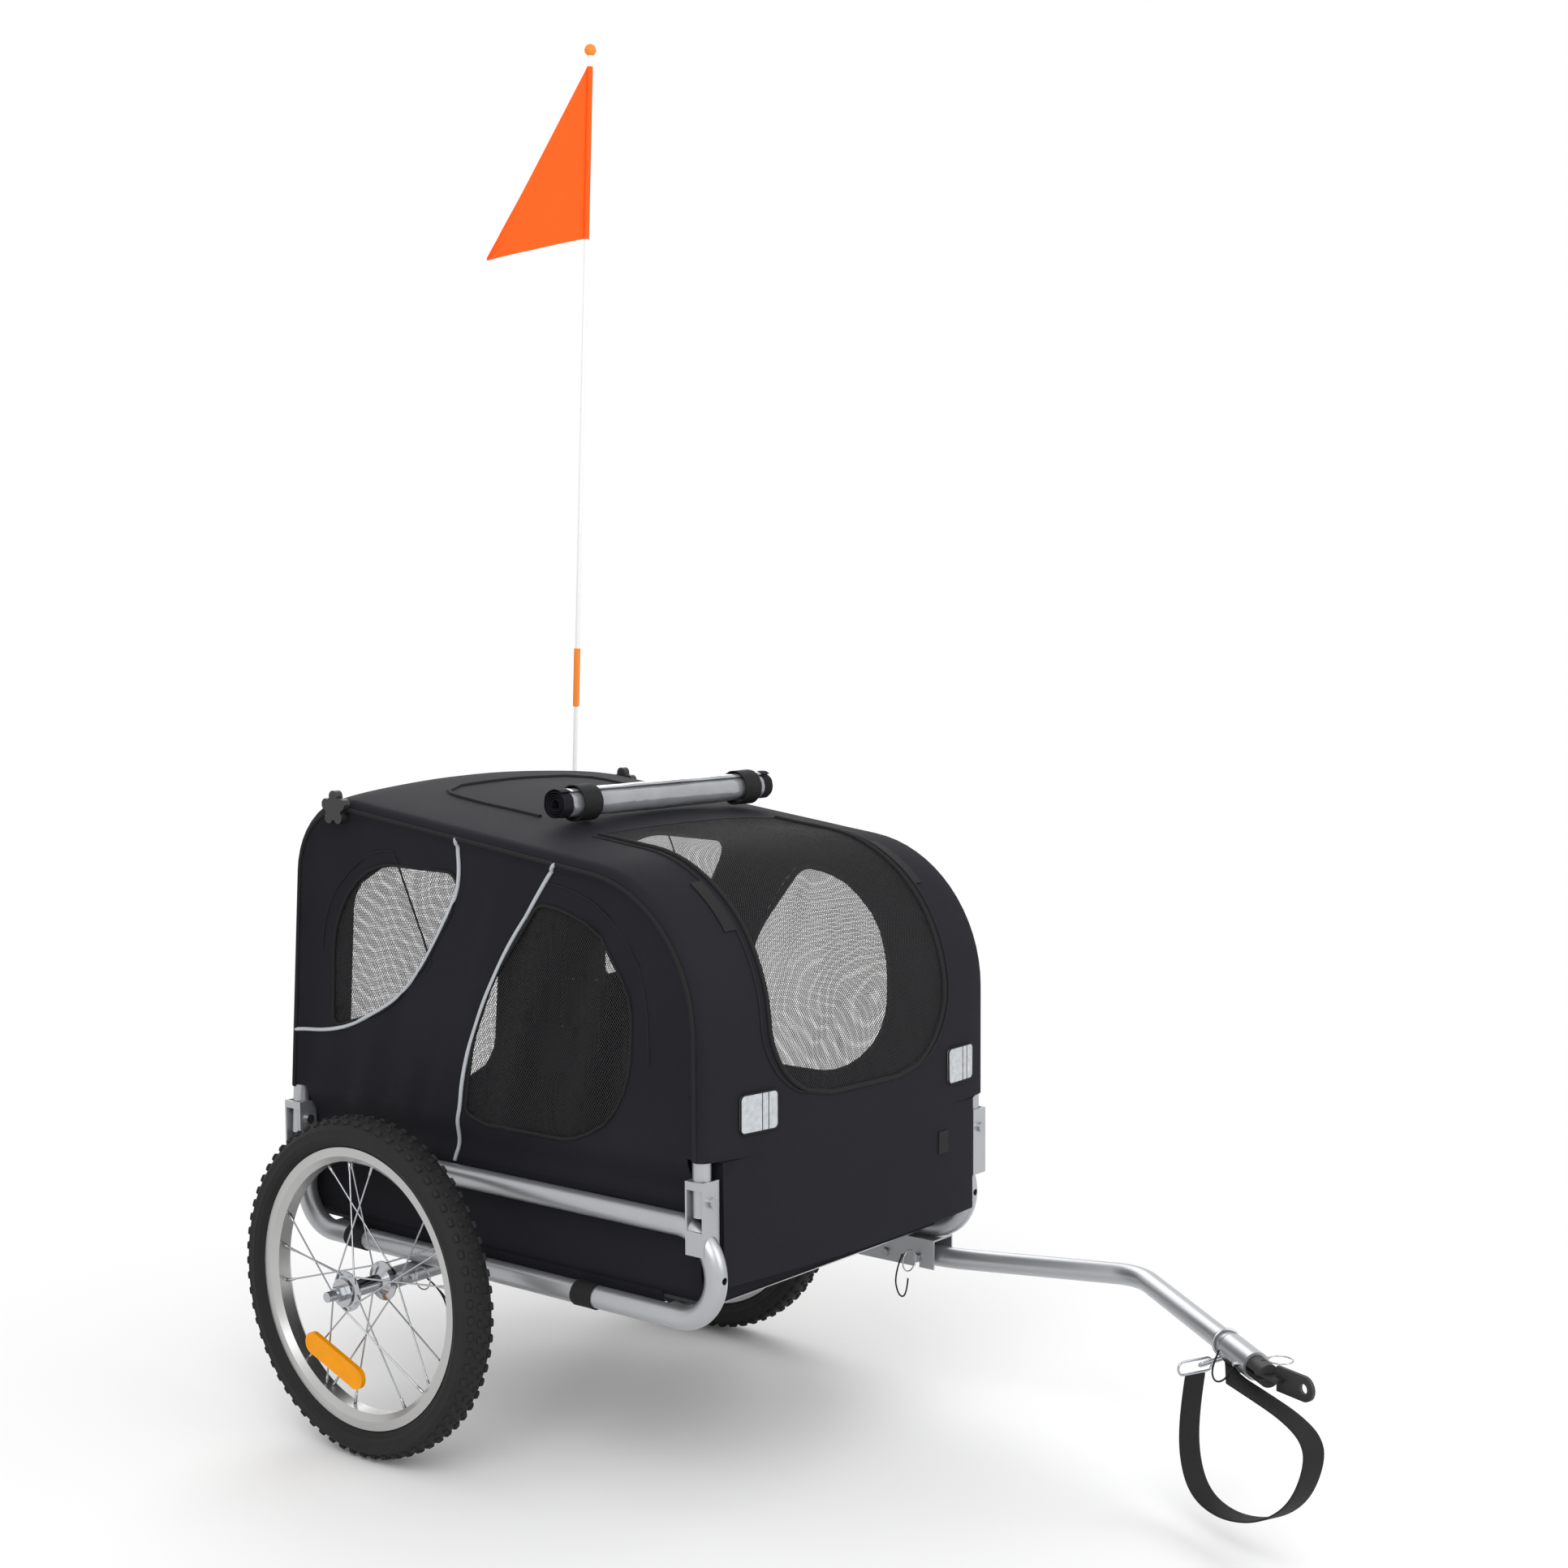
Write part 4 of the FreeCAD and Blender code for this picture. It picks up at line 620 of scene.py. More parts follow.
def cut_hole(piece, rows, first, last):
    """Deletes the faces of the hole's columns between two rows."""
    columns = len(rows[0]) - 1
    start = (columns - HOLE_COLUMNS) // 2
    pick(piece)
    bpy.ops.object.mode_set(mode="EDIT")
    bpy.ops.mesh.select_mode(type="FACE")
    bpy.ops.mesh.select_all(action="DESELECT")
    bpy.ops.object.mode_set(mode="OBJECT")
    for face in piece.data.polygons:
        row, column = divmod(face.index, columns)
        face.select = first <= row < last and start <= column < start + HOLE_COLUMNS
    bpy.ops.object.mode_set(mode="EDIT")
    bpy.ops.mesh.delete(type="FACE")
    bpy.ops.object.mode_set(mode="OBJECT")


def rounded_half_width(distance, width, corner):
    """Half width of a rounded outline at a distance in from its rounded edge."""
    if distance >= corner:
        return width
    drop = corner - max(distance, 0)
    return width - corner + math.sqrt(max(corner * corner - drop * drop, 0))


def door_half(turn):
    """Half width of the door's outline at a place along the cover."""
    size = sizes()
    return rounded_half_width(cover_point(turn, 0).z - size.door_sill, size.door_width, size.door_corner)


def facing_half(turn):
    """Half width of the seam round the door at a place along the cover."""
    return door_half(turn) + FACING_WIDTH


def hatch_half(turn):
    """Half width of the hatch's outline at a place along the cover."""
    size = sizes()
    inside = cover_point(turn, 0).x - SHIFT - size.hatch_rear
    return rounded_half_width(inside, size.hatch_width, size.hatch_corner)


def back_half(turn):
    """Half width of the rear window at a place along the cover."""
    size = sizes()
    z = cover_point(turn, 0).z
    inside = min(z - size.back_sill, size.back_top - z)
    return rounded_half_width(inside, size.back_width, size.back_corner)


def beside_bracket(turn):
    """Whether a place along the cover lies beside the hinge brackets, where the cloth is narrower."""
    return cover_point(turn, 0).z < BRACKET_TOP and (turn < 1 or turn > 4)


def panel_size(rows):
    """The rectangle that a panel of the cover is cut from: its longest row, and the run down its middle."""
    across = max(run_of([cloth_point(*spot) for spot in row]) for row in rows)
    return across, run_of([cloth_point(row[0][0], 0) for row in rows])


def outline_size(points):
    """Width and height of the rectangle round a flat outline."""
    wide = [point[0] for point in points]
    tall = [point[1] for point in points]
    return max(wide) - min(wide), max(tall) - min(tall)


def rows_size(rows):
    """Width and height of a flat piece from the places of its rows."""
    return outline_size([spot for row in rows for spot in row])


def sheet(piece, name, finish, span, slot=None, thick=None, offset=-1.0):
    """Gives a sheet its thickness and finish; span, the size it was cut from, is not used."""
    size = sizes()
    thicken(piece, thick or (size.net if finish == "net" else size.cloth), offset)
    settle(piece, name, finish, slot)
    return piece


def panel(name, turns, hole, first, last, node):
    """A panel of the cover with its hole between two rows."""
    rows = panel_rows(turns, hole)
    piece = grid(rows, cloth_point)
    cut_hole(piece, rows, first, last)
    attach(sheet(piece, name, "cloth", panel_size(rows)), node=node)


def filling(name, finish, turns, half, columns, body, node=None):
    """The cloth or net that fills a panel's hole."""
    rows = [[(turn, y) for y in steps(-half(turn), half(turn), columns)] for turn in turns]
    depth = NET_DEPTH if finish == "net" else 0.0
    piece = grid(rows, lambda turn, y: cloth_point(turn, y, depth))
    attach(sheet(piece, name, finish, panel_size(rows)), body, node)


def outline(name, turns, half, kind, body, closed_end):
    """Trim along the edge of a door or hatch: down one side, along the rounded end, and up the other."""
    thick, lift = kind
    right = [cloth_point(turn, -half(turn), lift) for turn in turns]
    left = [cloth_point(turn, half(turn), lift) for turn in turns]
    end_y = half(turns[closed_end])
    across = [cloth_point(turns[closed_end], y, lift) for y in steps(-end_y, end_y, 12)]
    if closed_end == 0:
        points = right[::-1] + across[1:-1] + left
    else:
        points = right + across[1:-1] + left[::-1]
    trim(name, points, thick, body)


class FrontCover(bpy.types.Operator):
    """Front panel with the zipped mesh door"""

    bl_idname = "trailer.front_cover"
    bl_label = "Front panel and door"

    def execute(self, context):
        size = context.scene.trailer_sizes
        sill = turn_at_height(size.door_sill)
        hinge = turn_at_x(size.door_hinge)
        notch = turn_at_height(BRACKET_TOP)
        low = steps(0, notch - ROW_GAP, 6) + steps(notch + ROW_GAP, sill, 4)
        upper = steps(sill, 1, 10)[1:] + steps(1, 2, 16)[1:] + steps(2, hinge, 6)[1:]
        panel("front_panel_cloth", low + upper, door_half, len(low) - 1, len(low + upper) - 1, "front_panel")
        turns = [sill] + upper
        filling("front_door_net", "net", turns, door_half, 24, "front_door", "front_door")
        outline("front_door_zip", turns, door_half, DOOR_ZIP, "front_door", 0)
        outline("front_door_facing", turns, facing_half, DOOR_FACING, "chassis", 0)
        return {"FINISHED"}


class RoofCover(bpy.types.Operator):
    """Roof panel, hatch and rear panel"""

    bl_idname = "trailer.roof_cover"
    bl_label = "Roof, hatch and rear"

    def execute(self, context):
        size = context.scene.trailer_sizes
        front = turn_at_x(size.hatch_front)
        rear = turn_at_x(size.hatch_rear)
        before = steps(turn_at_x(size.door_hinge), front, 6)
        inside = steps(front, rear, 12)
        after = steps(rear, 3, 4) + steps(3, REAR_SEAM, 8)[1:]
        turns = before + inside[1:] + after[1:]
        last = len(before) + len(inside) - 2
        panel("roof_panel_cloth", turns, hatch_half, len(before) - 1, last, "roof_panel")
        filling("roof_hatch_cloth", "cloth", inside, hatch_half, 20, "roof_hatch", "roof_hatch")
        outline("roof_hatch_zip", inside, hatch_half, HATCH_ZIP, "roof_hatch", -1)
        notch = back_turn(BRACKET_TOP)
        top = back_turn(size.back_top)
        sill = back_turn(size.back_sill)
        above = steps(REAR_SEAM, 4, 3) + steps(4, top, 2)[1:]
        window = steps(top, notch - ROW_GAP, 16)[1:] + steps(notch + ROW_GAP, sill, 4)
        turns = above + window + steps(sill, 5, 4)[1:]
        last = len(above) + len(window) - 1
        panel("rear_panel_cloth", turns, back_half, len(above) - 1, last, "rear_panel")
        turns = [top] + window
        filling("rear_window_net", "net", turns, back_half, 20, "chassis")
        half = len(turns) // 2
        for part, taped, end in (("top", turns[:half + 1], 0), ("foot", turns[half:], -1)):
            outline("rear_window_tape_" + part, taped, back_half, BACK_TAPE, "chassis", end)
        return {"FINISHED"}


# Flat-cut pieces
def rounded(corners):
    """A closed outline from corners with a rounding radius each."""
    points = []
    places = [Vector(corner) for corner, radius in corners]
    for index, (corner, radius) in enumerate(corners):
        after = places[(index + 1) % len(places)]
        start, end, centre = corner_arc(places[index - 1], places[index], after, radius)
        for part in steps(0, 1, 9):
            points.append(centre + (start.lerp(end, part) - centre).normalized() * radius)
    return points


def grown(points, factor):
    """An outline made larger about its middle."""
    centre = sum(points, Vector((0, 0))) / len(points)
    return [centre + (point - centre) * factor for point in points]


def cut_flat(loops, step):
    """A flat piece inside the first loop and outside the others, divided by a square grid."""
    drawn = [[point.to_3d() for point in loop] for loop in loops]
    piece = as_mesh(curve_piece("flat", "POLY", drawn, True, dimensions="2D", fill_mode="BOTH"))
    cuts = []
    for axis in (0, 1):
        low = min(point[axis] for point in loops[0])
        high = max(point[axis] for point in loops[0])
        way = [float(other == axis) for other in range(3)]
        for index in range(1, int((high - low) / step) + 1):
            spot = [part * (low + index * step) for part in way]
            cuts.append(("bisect", {"plane_co": spot, "plane_no": way}))
    edit(piece, *cuts, ("remove_doubles", {"threshold": 0.0002}))
    return piece


def fold_up(piece, place, outward):
    """Puts a flat piece in its place in the air, faces turned outward, with its flat map kept in metres."""
    flat_map(piece, {vertex.index: vertex.co.xy for vertex in piece.data.vertices})
    for vertex in piece.data.vertices:
        vertex.co = place(*vertex.co.xy)
    facing = sum((face.normal * face.area for face in piece.data.polygons), Vector())
    if facing.dot(outward) < 0:
        edit(piece, ("flip_normals", {}))
    return piece


def nurbs(name, points, thick=0.0):
    """A smooth line with the points as its control points."""
    piece = curve_piece(
        name, "NURBS", [points],
        dimensions="3D", resolution_u=12, bevel_depth=thick, bevel_resolution=4, use_fill_caps=True,
    )
    spline = piece.data.splines[0]
    spline.order_u = 3
    spline.use_endpoint_u = True
    return piece


def smooth_line(points):
    """Points along a smooth line, read from its spline."""
    guide = nurbs("guide", points)
    graph = bpy.context.evaluated_depsgraph_get()
    mesh = bpy.data.meshes.new_from_object(guide.evaluated_get(graph))
    line = [vertex.co.copy() for vertex in mesh.vertices]
    bpy.data.meshes.remove(mesh)
    bpy.data.objects.remove(guide)
    return line


def run_of(line):
    """Length along a list of points."""
    return sum((b - a).length for a, b in zip(line, line[1:]))


# Sides of the cabin: places are (forward of the axle, height) in metres
REAR_WINDOW = (
    ((-0.131, 0.480), 0.008), ((-0.131, 0.684), 0.110), ((0.090, 0.680), 0.014),
    ((0.074, 0.628), 0.060), ((0.028, 0.566), 0.090), ((-0.042, 0.505), 0.120),
)
FRONT_WINDOW = (
    ((0.092, 0.402), 0.010), ((0.110, 0.490), 0.150), ((0.146, 0.568), 0.200), ((0.216, 0.654), 0.030),
    ((0.354, 0.648), 0.125), ((0.354, 0.394), 0.115), ((0.130, 0.394), 0.030),
)
REAR_PIPING = (
    (0.108, 0.735), (0.094, 0.724), (0.092, 0.676), (0.079, 0.644), (0.048, 0.596), (0.006, 0.544),
    (-0.058, 0.500), (-0.148, 0.468), (-0.230, 0.470),
)
FRONT_PIPING = (
    (0.272, 0.716), (0.254, 0.704), (0.213, 0.659), (0.176, 0.616), (0.143, 0.564), (0.107, 0.490),
    (0.095, 0.451), (0.084, 0.394), (0.062, 0.341),
)
POST_GAP = 0.017
SKIRT_TOP = FOLD_HEIGHT + 0.043
SKIRT_LOW = FOLD_HEIGHT - 0.019
FALL_TOP = FOLD_HEIGHT + 0.045
FALL_RUN = 0.05
FADE_RUN = 0.07
SIDE_SAG = 0.0090
SIDE_CREASE = 0.0018
SIDE_STEP = 0.008
PANE_STEP = 0.013
PANE_GROWTH = 1.035
PANE_DEPTH = -0.0016
SEAM_GROWTH = 1.17
SEAM_DROP = 0.02
SEAM_REAR_END = 0.060
SEAM_FRONT_END = 0.212
SLEEVE_CLOTH = 0.0004
GUSSET_REACH = 0.034
GUSSET_GAP = 0.0013
GUSSET_TOP = SKIRT_TOP + 0.006


def side_line(side, turn):
    """Middle line of one hoop in the side view."""
    return profile(*hoop_ends(side), 0.0, turn)


def side_arch(side):
    """The part of a hoop's line that the side cloth hangs from."""
    hem = sizes().hem
    front_top = side_line(side, 1).y
    rear_top = side_line(side, 4).y
    first = (SKIRT_TOP - hem) / (front_top - hem)
    last = 4 + (rear_top - SKIRT_TOP) / (rear_top - hem)
    turns = steps(first, 1, 6) + steps(1, 2, 20)[1:] + steps(2, 3, 10)[1:]
    turns += steps(3, 4, 12)[1:] + steps(4, last, 6)[1:]
    return [side_line(side, turn) for turn in turns]


def side_surface(side):
    """A function from a place in the side view to the side cloth, with its slack."""
    size = sizes()
    arch = [Vector((point.x, point.y, 0)) for point in side_arch(side)]
    near = [a.lerp(b, share) for a, b in zip(arch, arch[1:]) for share in steps(0, 1, 12)]
    tree = kdtree.KDTree(len(near))
    for index, point in enumerate(near):
        tree.insert(point, index)
    tree.balance()

    def place(x, z, lift=0.0):
        fall = min(max((FALL_TOP - z) / FALL_RUN, 0), 1)
        away = tree.find(Vector((x, z, 0)))[2]
        bend = size.skin - math.sqrt(size.skin ** 2 - min(away, size.ridge) ** 2)
        depth = RAIL + size.skin - bend * (1 - fall) - size.tuck * fall * fall * (3 - 2 * fall)
        fade = min(away / FADE_RUN, 1) * (1 - fall)
        fold = noise.noise(Vector((x * 19 - z * 5, side * 2, z * 3.2)))
        crease = noise.noise(Vector((x * 44 - z * 14, side * 5, z * 15)))
        sag = fade * (SIDE_SAG * (0.6 + fold) + SIDE_CREASE * crease)
        return Vector((x + SHIFT, side * (depth - sag + lift), z))

    return place


def kept_inside(side, line):
    """A line in the side view that ends where it meets the hoop."""
    drawn = []
    for point in line:
        x = max(point.x, hoop_ends(side)[1] + BACK_LEAN * (point.z - FOLD_HEIGHT))
        drawn.append(Vector((x, 0, min(point.z, roof_line(x)))))
    inner = [index for index, point in enumerate(line) if (drawn[index] - point).length < 0.0005]
    return drawn[max(inner[0] - 1, 0):inner[-1] + 2]


class SideCover(bpy.types.Operator):
    """Side cloth with mesh windows, bindings and piping"""

    bl_idname = "trailer.side_cover"
    bl_label = "Sides and windows"

    def execute(self, context):
        for name, side in SIDES:
            place = side_surface(side)
            outward = Vector((0, side, 0))
            arch = side_arch(side)
            rear, front = arch[-1].x + POST_GAP, arch[0].x - POST_GAP
            skirt = ((rear, SKIRT_TOP), (rear, SKIRT_LOW), (front, SKIRT_LOW), (front, SKIRT_TOP))
            edge = arch + [Vector(spot) for spot in skirt]
            openings = [rounded(corners) for corners in (REAR_WINDOW, FRONT_WINDOW)]
            cloth = fold_up(cut_flat([edge] + openings, SIDE_STEP), place, outward)
            sheet(cloth, "side_panel_" + name + "_cloth", "cloth", outline_size(edge))
            attach(cloth, node="side_panel_" + name)
            panes = [grown(opening, PANE_GROWTH) for opening in openings]
            nets = [
                fold_up(cut_flat([pane], PANE_STEP), lambda x, z: place(x, z, PANE_DEPTH), outward)
                for pane in panes
            ]
            net = sheet(joined(nets), "side_net_" + name, "net", outline_size(panes[0] + panes[1]))
            attach(net, node="side_mesh_" + name)

            def sewn(kind, points, label, **look):
                thick, lift = kind
                trim(label + "_" + name, [place(*point, lift) for point in points], thick, **look)

            for part, opening in zip(("rear", "front"), openings):
                sewn(SIDE_TAPE, opening, "window_tape_" + part, closed=True)
                sewn(SIDE_SEAM, self.seam(part, opening), "window_seam_" + part)
            for part, route in (("rear", REAR_PIPING), ("front", FRONT_PIPING)):
                line = kept_inside(side, smooth_line([Vector((x, 0, z)) for x, z in route]))
                sewn(SIDE_PIPING, [point.xz for point in line], "piping_" + part, finish="piping")
            sewn(HOOP_WELT, arch, "hoop_welt")
            self.sleeve(name, side, arch)
            self.gussets(name, side, arch)
        return {"FINISHED"}

    def sleeve(self, name, side, arch):
        """Cloth round the inner half of a hoop, where the cabin's inside shows it."""
        radius = sizes().sleeve
        rows = lattice(range(len(arch)), steps(0, 180, 10))

        def place(index, angle):
            way = (arch[min(index + 1, len(arch) - 1)] - arch[max(index - 1, 0)]).normalized()
            swing = math.radians(angle)
            spot = arch[index] + Vector((way.y, -way.x)) * (radius * math.cos(swing))
            return Vector((spot.x + SHIFT, side * (RAIL - radius * math.sin(swing)), spot.y))

        piece = thicken(grid(rows, place), SLEEVE_CLOTH)
        attach(settle(piece, "hoop_sleeve_" + name, "cloth"), "hoop_" + name, sinks=False)

    def gussets(self, name, side, arch):
        """Cloth that closes the cabin's corners behind the hinge brackets, hung between frame and hoop."""
        size = sizes()
        for end, post, out in (("front", arch[0], 1), ("rear", arch[-1], -1)):
            inner = post.x - out * (POST_GAP + GUSSET_REACH)
            rows = []
            for z in steps(size.hem, GUSSET_TOP, 6):
                turn = turn_at_height(z) if out > 0 else back_turn(z)
                edge = cover_point(turn, side * size.gusset).x - SHIFT - out * GUSSET_GAP
                rows.append([(x, z) for x in steps(inner, edge, 4)])
            piece = grid(rows, lambda x, z: Vector((x + SHIFT, side * size.gusset, z)))
            sheet(piece, "gusset_" + end + "_" + name, "cloth", rows_size(rows))
            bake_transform(piece)

    def seam(self, part, opening):
        """Line of the seam outside a window, over its top and down the side away from the piping."""
        low = (sum(opening, Vector((0, 0))) / len(opening)).y - SEAM_DROP
        line = [outer for point, outer in zip(opening, grown(opening, SEAM_GROWTH)) if point.y > low]
        if part == "rear":
            return [point for point in line if point.x < SEAM_REAR_END]
        return [point for point in line if point.x > SEAM_FRONT_END]


BAND_WIDTH = 0.030
BAND_INSET = 0.0007
WEBBING = 0.0014
TUB_CORNER = 0.018
TUB_SLACK = 0.0035
TUB_HEM_ENDS = (-0.520, -0.006)
TUB_HEM_OVERLAP = 0.009
TUB_HEM_DROP = 0.0126
TUB_HEM_DEPTH = 0.0024


def band(centre, radius, axis):
    """A strip of webbing wound about a line along X or Y."""
    rows = lattice(steps(0, 360, 40), steps(-BAND_WIDTH / 2, BAND_WIDTH / 2, 6))

    def place(angle, across):
        swing = math.radians(angle)
        reach = radius + 0.0005 * noise.noise(Vector((angle * 0.05, across * 40, 0)))
        if axis == "X":
            return centre + Vector((across, reach * math.cos(swing), reach * math.sin(swing)))
        return centre + Vector((reach * math.cos(swing), across, reach * math.sin(swing)))

    return thicken(grid(rows, place, lambda angle, across: (across, math.radians(angle) * radius)), WEBBING)


class LowerTub(bpy.types.Operator):
    """Cloth tub between the rails and the webbing that ties it down"""

    bl_idname = "trailer.lower_tub"
    bl_label = "Lower tub"

    def execute(self, context):
        low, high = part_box("lower_tub")
        wall, corner = high[1], TUB_CORNER
        section = [(wall, high[2]), (wall, high[2] - 0.03), (wall, high[2] - 0.06)]
        for angle in steps(0, 90, 6):
            swing = math.radians(angle)
            y = wall - corner + corner * math.cos(swing)
            section.append((y, low[2] + corner - corner * math.sin(swing)))
        section += [(wall * share, low[2]) for share in (0.7, 0.45, 0.2)]
        section += [(-y, z) for y, z in reversed(section)]
        rows = lattice(steps(low[0], high[0], 48), range(len(section)))

        def place(x, index):
            y, z = section[index]
            inward = TUB_SLACK * (0.5 + noise.noise(Vector((x * 11, y * 3, z * 8))))
            depth = min((high[2] - z) / 0.02, 1) * (1 if z > low[2] + corner else 0)
            return Vector((x, y - math.copysign(inward * depth, y), z))

        walls = [grid(rows, place)]
        for x, out in ((low[0], -1), (high[0], 1)):
            rows = []
            for z in steps(low[2], high[2], 10):
                reach = rounded_half_width(z - low[2], wall, corner) - 0.0004
                rows.append([(y, z) for y in steps(-reach * out, reach * out, 12)])
            walls.append(grid(rows, lambda y, z: Vector((x - out * 0.0005, y, z))))
        span = run_of([Vector(spot) for spot in section]), high[0] - low[0] + 2 * (high[2] - low[2])
        tub = sheet(joined(walls), "lower_tub_cloth", "cloth", span)
        attach(tub, node="lower_tub", sinks=False)
        heights = steps(low[2] + TUB_HEM_OVERLAP, low[2] - TUB_HEM_DROP, 4)
        rows = [[(x, z) for x in steps(*TUB_HEM_ENDS, 30)] for z in heights]
        for name, side in SIDES:
            hem = grid(rows, lambda x, z: Vector((x, side * (wall - TUB_HEM_DEPTH), z)))
            attach(sheet(hem, "tub_hem_" + name, "cloth", rows_size(rows)), sinks=False)
        low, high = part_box("floor_straps")
        reach = (high[2] - low[2]) / 2
        ties = []
        for side in (-1, 1):
            for x in (low[0] + BAND_WIDTH / 2, high[0] - BAND_WIDTH / 2):
                centre = Vector((x, side * (high[1] - reach), (low[2] + high[2]) / 2))
                ties.append(band(centre, reach - BAND_INSET, "X"))
        attach(settle(joined(ties), "floor_ties", "webbing"), node="floor_straps", sinks=False)
        return {"FINISHED"}


# The tyre's outline as (radius, distance from its middle), and its tread blocks as
# (share of a pitch, radius, distance from the middle, tilt in degrees, length, width, height)
TYRE_SECTION = (
    (0.1570, 0.0133), (0.1646, 0.0133), (0.1668, 0.0168), (0.1690, 0.0196), (0.1696, 0.0206),
    (0.1704, 0.0203), (0.1720, 0.0213), (0.1752, 0.0224), (0.1758, 0.0231), (0.1768, 0.0226),
    (0.1800, 0.0226), (0.1846, 0.0220), (0.1856, 0.0224), (0.1866, 0.0214), (0.1900, 0.0190),
    (0.1930, 0.0150), (0.1952, 0.0098), (0.1962, 0.0050), (0.1965, 0.0),
)
LUGS = (
    (0.0, 0.1932, 0.0152, 52, 0.0096, 0.0064, 0.0046),
    (0.5, 0.1932, -0.0152, -52, 0.0096, 0.0064, 0.0046),
    (0.28, 0.1964, 0.0052, 8, 0.0074, 0.0068, 0.0036),
    (0.78, 0.1964, -0.0052, -8, 0.0074, 0.0068, 0.0036),
)
LUG_TOP = (0.78, 0.62)
LUG_FOOT = (1.05, -0.38)
TREAD_PITCHES = 66
FLANGE_SPOKES = 10
SPOKE_CROSS = 62
SPOKE_ROOT = (0.020, 0.030)
SPOKE_TIP = (0.1462, 0.003)


def lug(place, radius, axial, tilt, along, across, rise, pitch):
    """One tread block at its share of a pitch, a tapered block with bevelled upper edges."""
    deselect()
    bpy.ops.mesh.primitive_cube_add(size=1)
    piece = bpy.context.object
    for vertex in piece.data.vertices:
        taper, share = LUG_TOP if vertex.co.z > 0 else LUG_FOOT
        vertex.co = Vector((vertex.co.x * along * taper, vertex.co.y * across * taper, rise * share))
    modify(piece, "BEVEL", width=0.0007, segments=1, limit_method="ANGLE")
    lean = Matrix.Rotation(math.radians(-tilt), 4, "X")
    spot = Matrix.Translation((0, axial, radius))
    swing = Matrix.Rotation(place * pitch, 4, "Y")
    piece.data.transform(swing @ spot @ lean)
    return piece


class Tyres(bpy.types.Operator):
    """Knobby tyres and spoke nipples"""

    bl_idname = "trailer.tyres"
    bl_label = "Tyres"

    def execute(self, context):
        pitch = 2 * math.pi / TREAD_PITCHES
        section = list(TYRE_SECTION) + [(radius, -axial) for radius, axial in reversed(TYRE_SECTION[:-1])]
        ring = wire([Vector((radius, axial, 0)) for radius, axial in section], 0.0, closed=True)
        modify(ring, "SCREW", axis="Y", steps=120, render_steps=120, use_merge_vertices=True,
               use_normal_calculate=True)
        edit(ring, ("remove_doubles", {"threshold": 0.00005}), ("normals_make_consistent", {"inside": False}))
        step = joined([lug(*values, pitch) for values in LUGS])
        turns = [Matrix.Rotation(index * pitch, 4, "Y") for index in range(TREAD_PITCHES)]
        tyre = joined([ring] + [twin(step, turn) for turn in turns])
        for name, _ in SIDES:
            piece = twin(tyre, Matrix.Translation(middle("tyre_" + name)))
            settle(piece, "tyre_" + name + "_tread", "rubber", smooth=35)
            attach(piece, "wheel_" + name, "tyre_" + name, sinks=False)
            self.nipples(name)
        for pattern in (step, tyre):
            bpy.data.objects.remove(pattern)
        return {"FINISHED"}

    def nipples(self, name):
        """A tapered nipple on each spoke's rim end."""
        centre = middle("tyre_" + name)
        pieces = []
        for flange in (-1, 1):
            for index in range(FLANGE_SPOKES):
                hub_angle = math.radians(index * 360 / FLANGE_SPOKES + (18 if flange > 0 else 0))
                rim_angle = hub_angle + math.radians(SPOKE_CROSS if index % 2 else -SPOKE_CROSS)
                root, tip = [
                    Vector((radius * math.cos(angle), flange * axial, radius * math.sin(angle)))
                    for (radius, axial), angle in ((SPOKE_ROOT, hub_angle), (SPOKE_TIP, rim_angle))
                ]
                way = (tip - root).normalized()
                deselect()
                bpy.ops.mesh.primitive_cone_add(vertices=8, radius1=0.0016, radius2=0.0021, depth=0.012)
                piece = modify(bpy.context.object, "BEVEL", width=0.0004, segments=1, limit_method="ANGLE")
                turn = way.to_track_quat("Z", "Y").to_matrix().to_4x4()
                piece.data.transform(Matrix.Translation(centre + tip - way * 0.0062) @ turn)
                pieces.append(piece)
        whole = settle(joined(pieces), "spoke_nipples_" + name, "chrome", smooth=40)
        attach(whole, "wheel_" + name, sinks=False)


ROLL_TURNS = 4.4
ROLL_CORE = 0.0055
ROLL_HEM = 0.016
ROLL_FILM = 0.0009


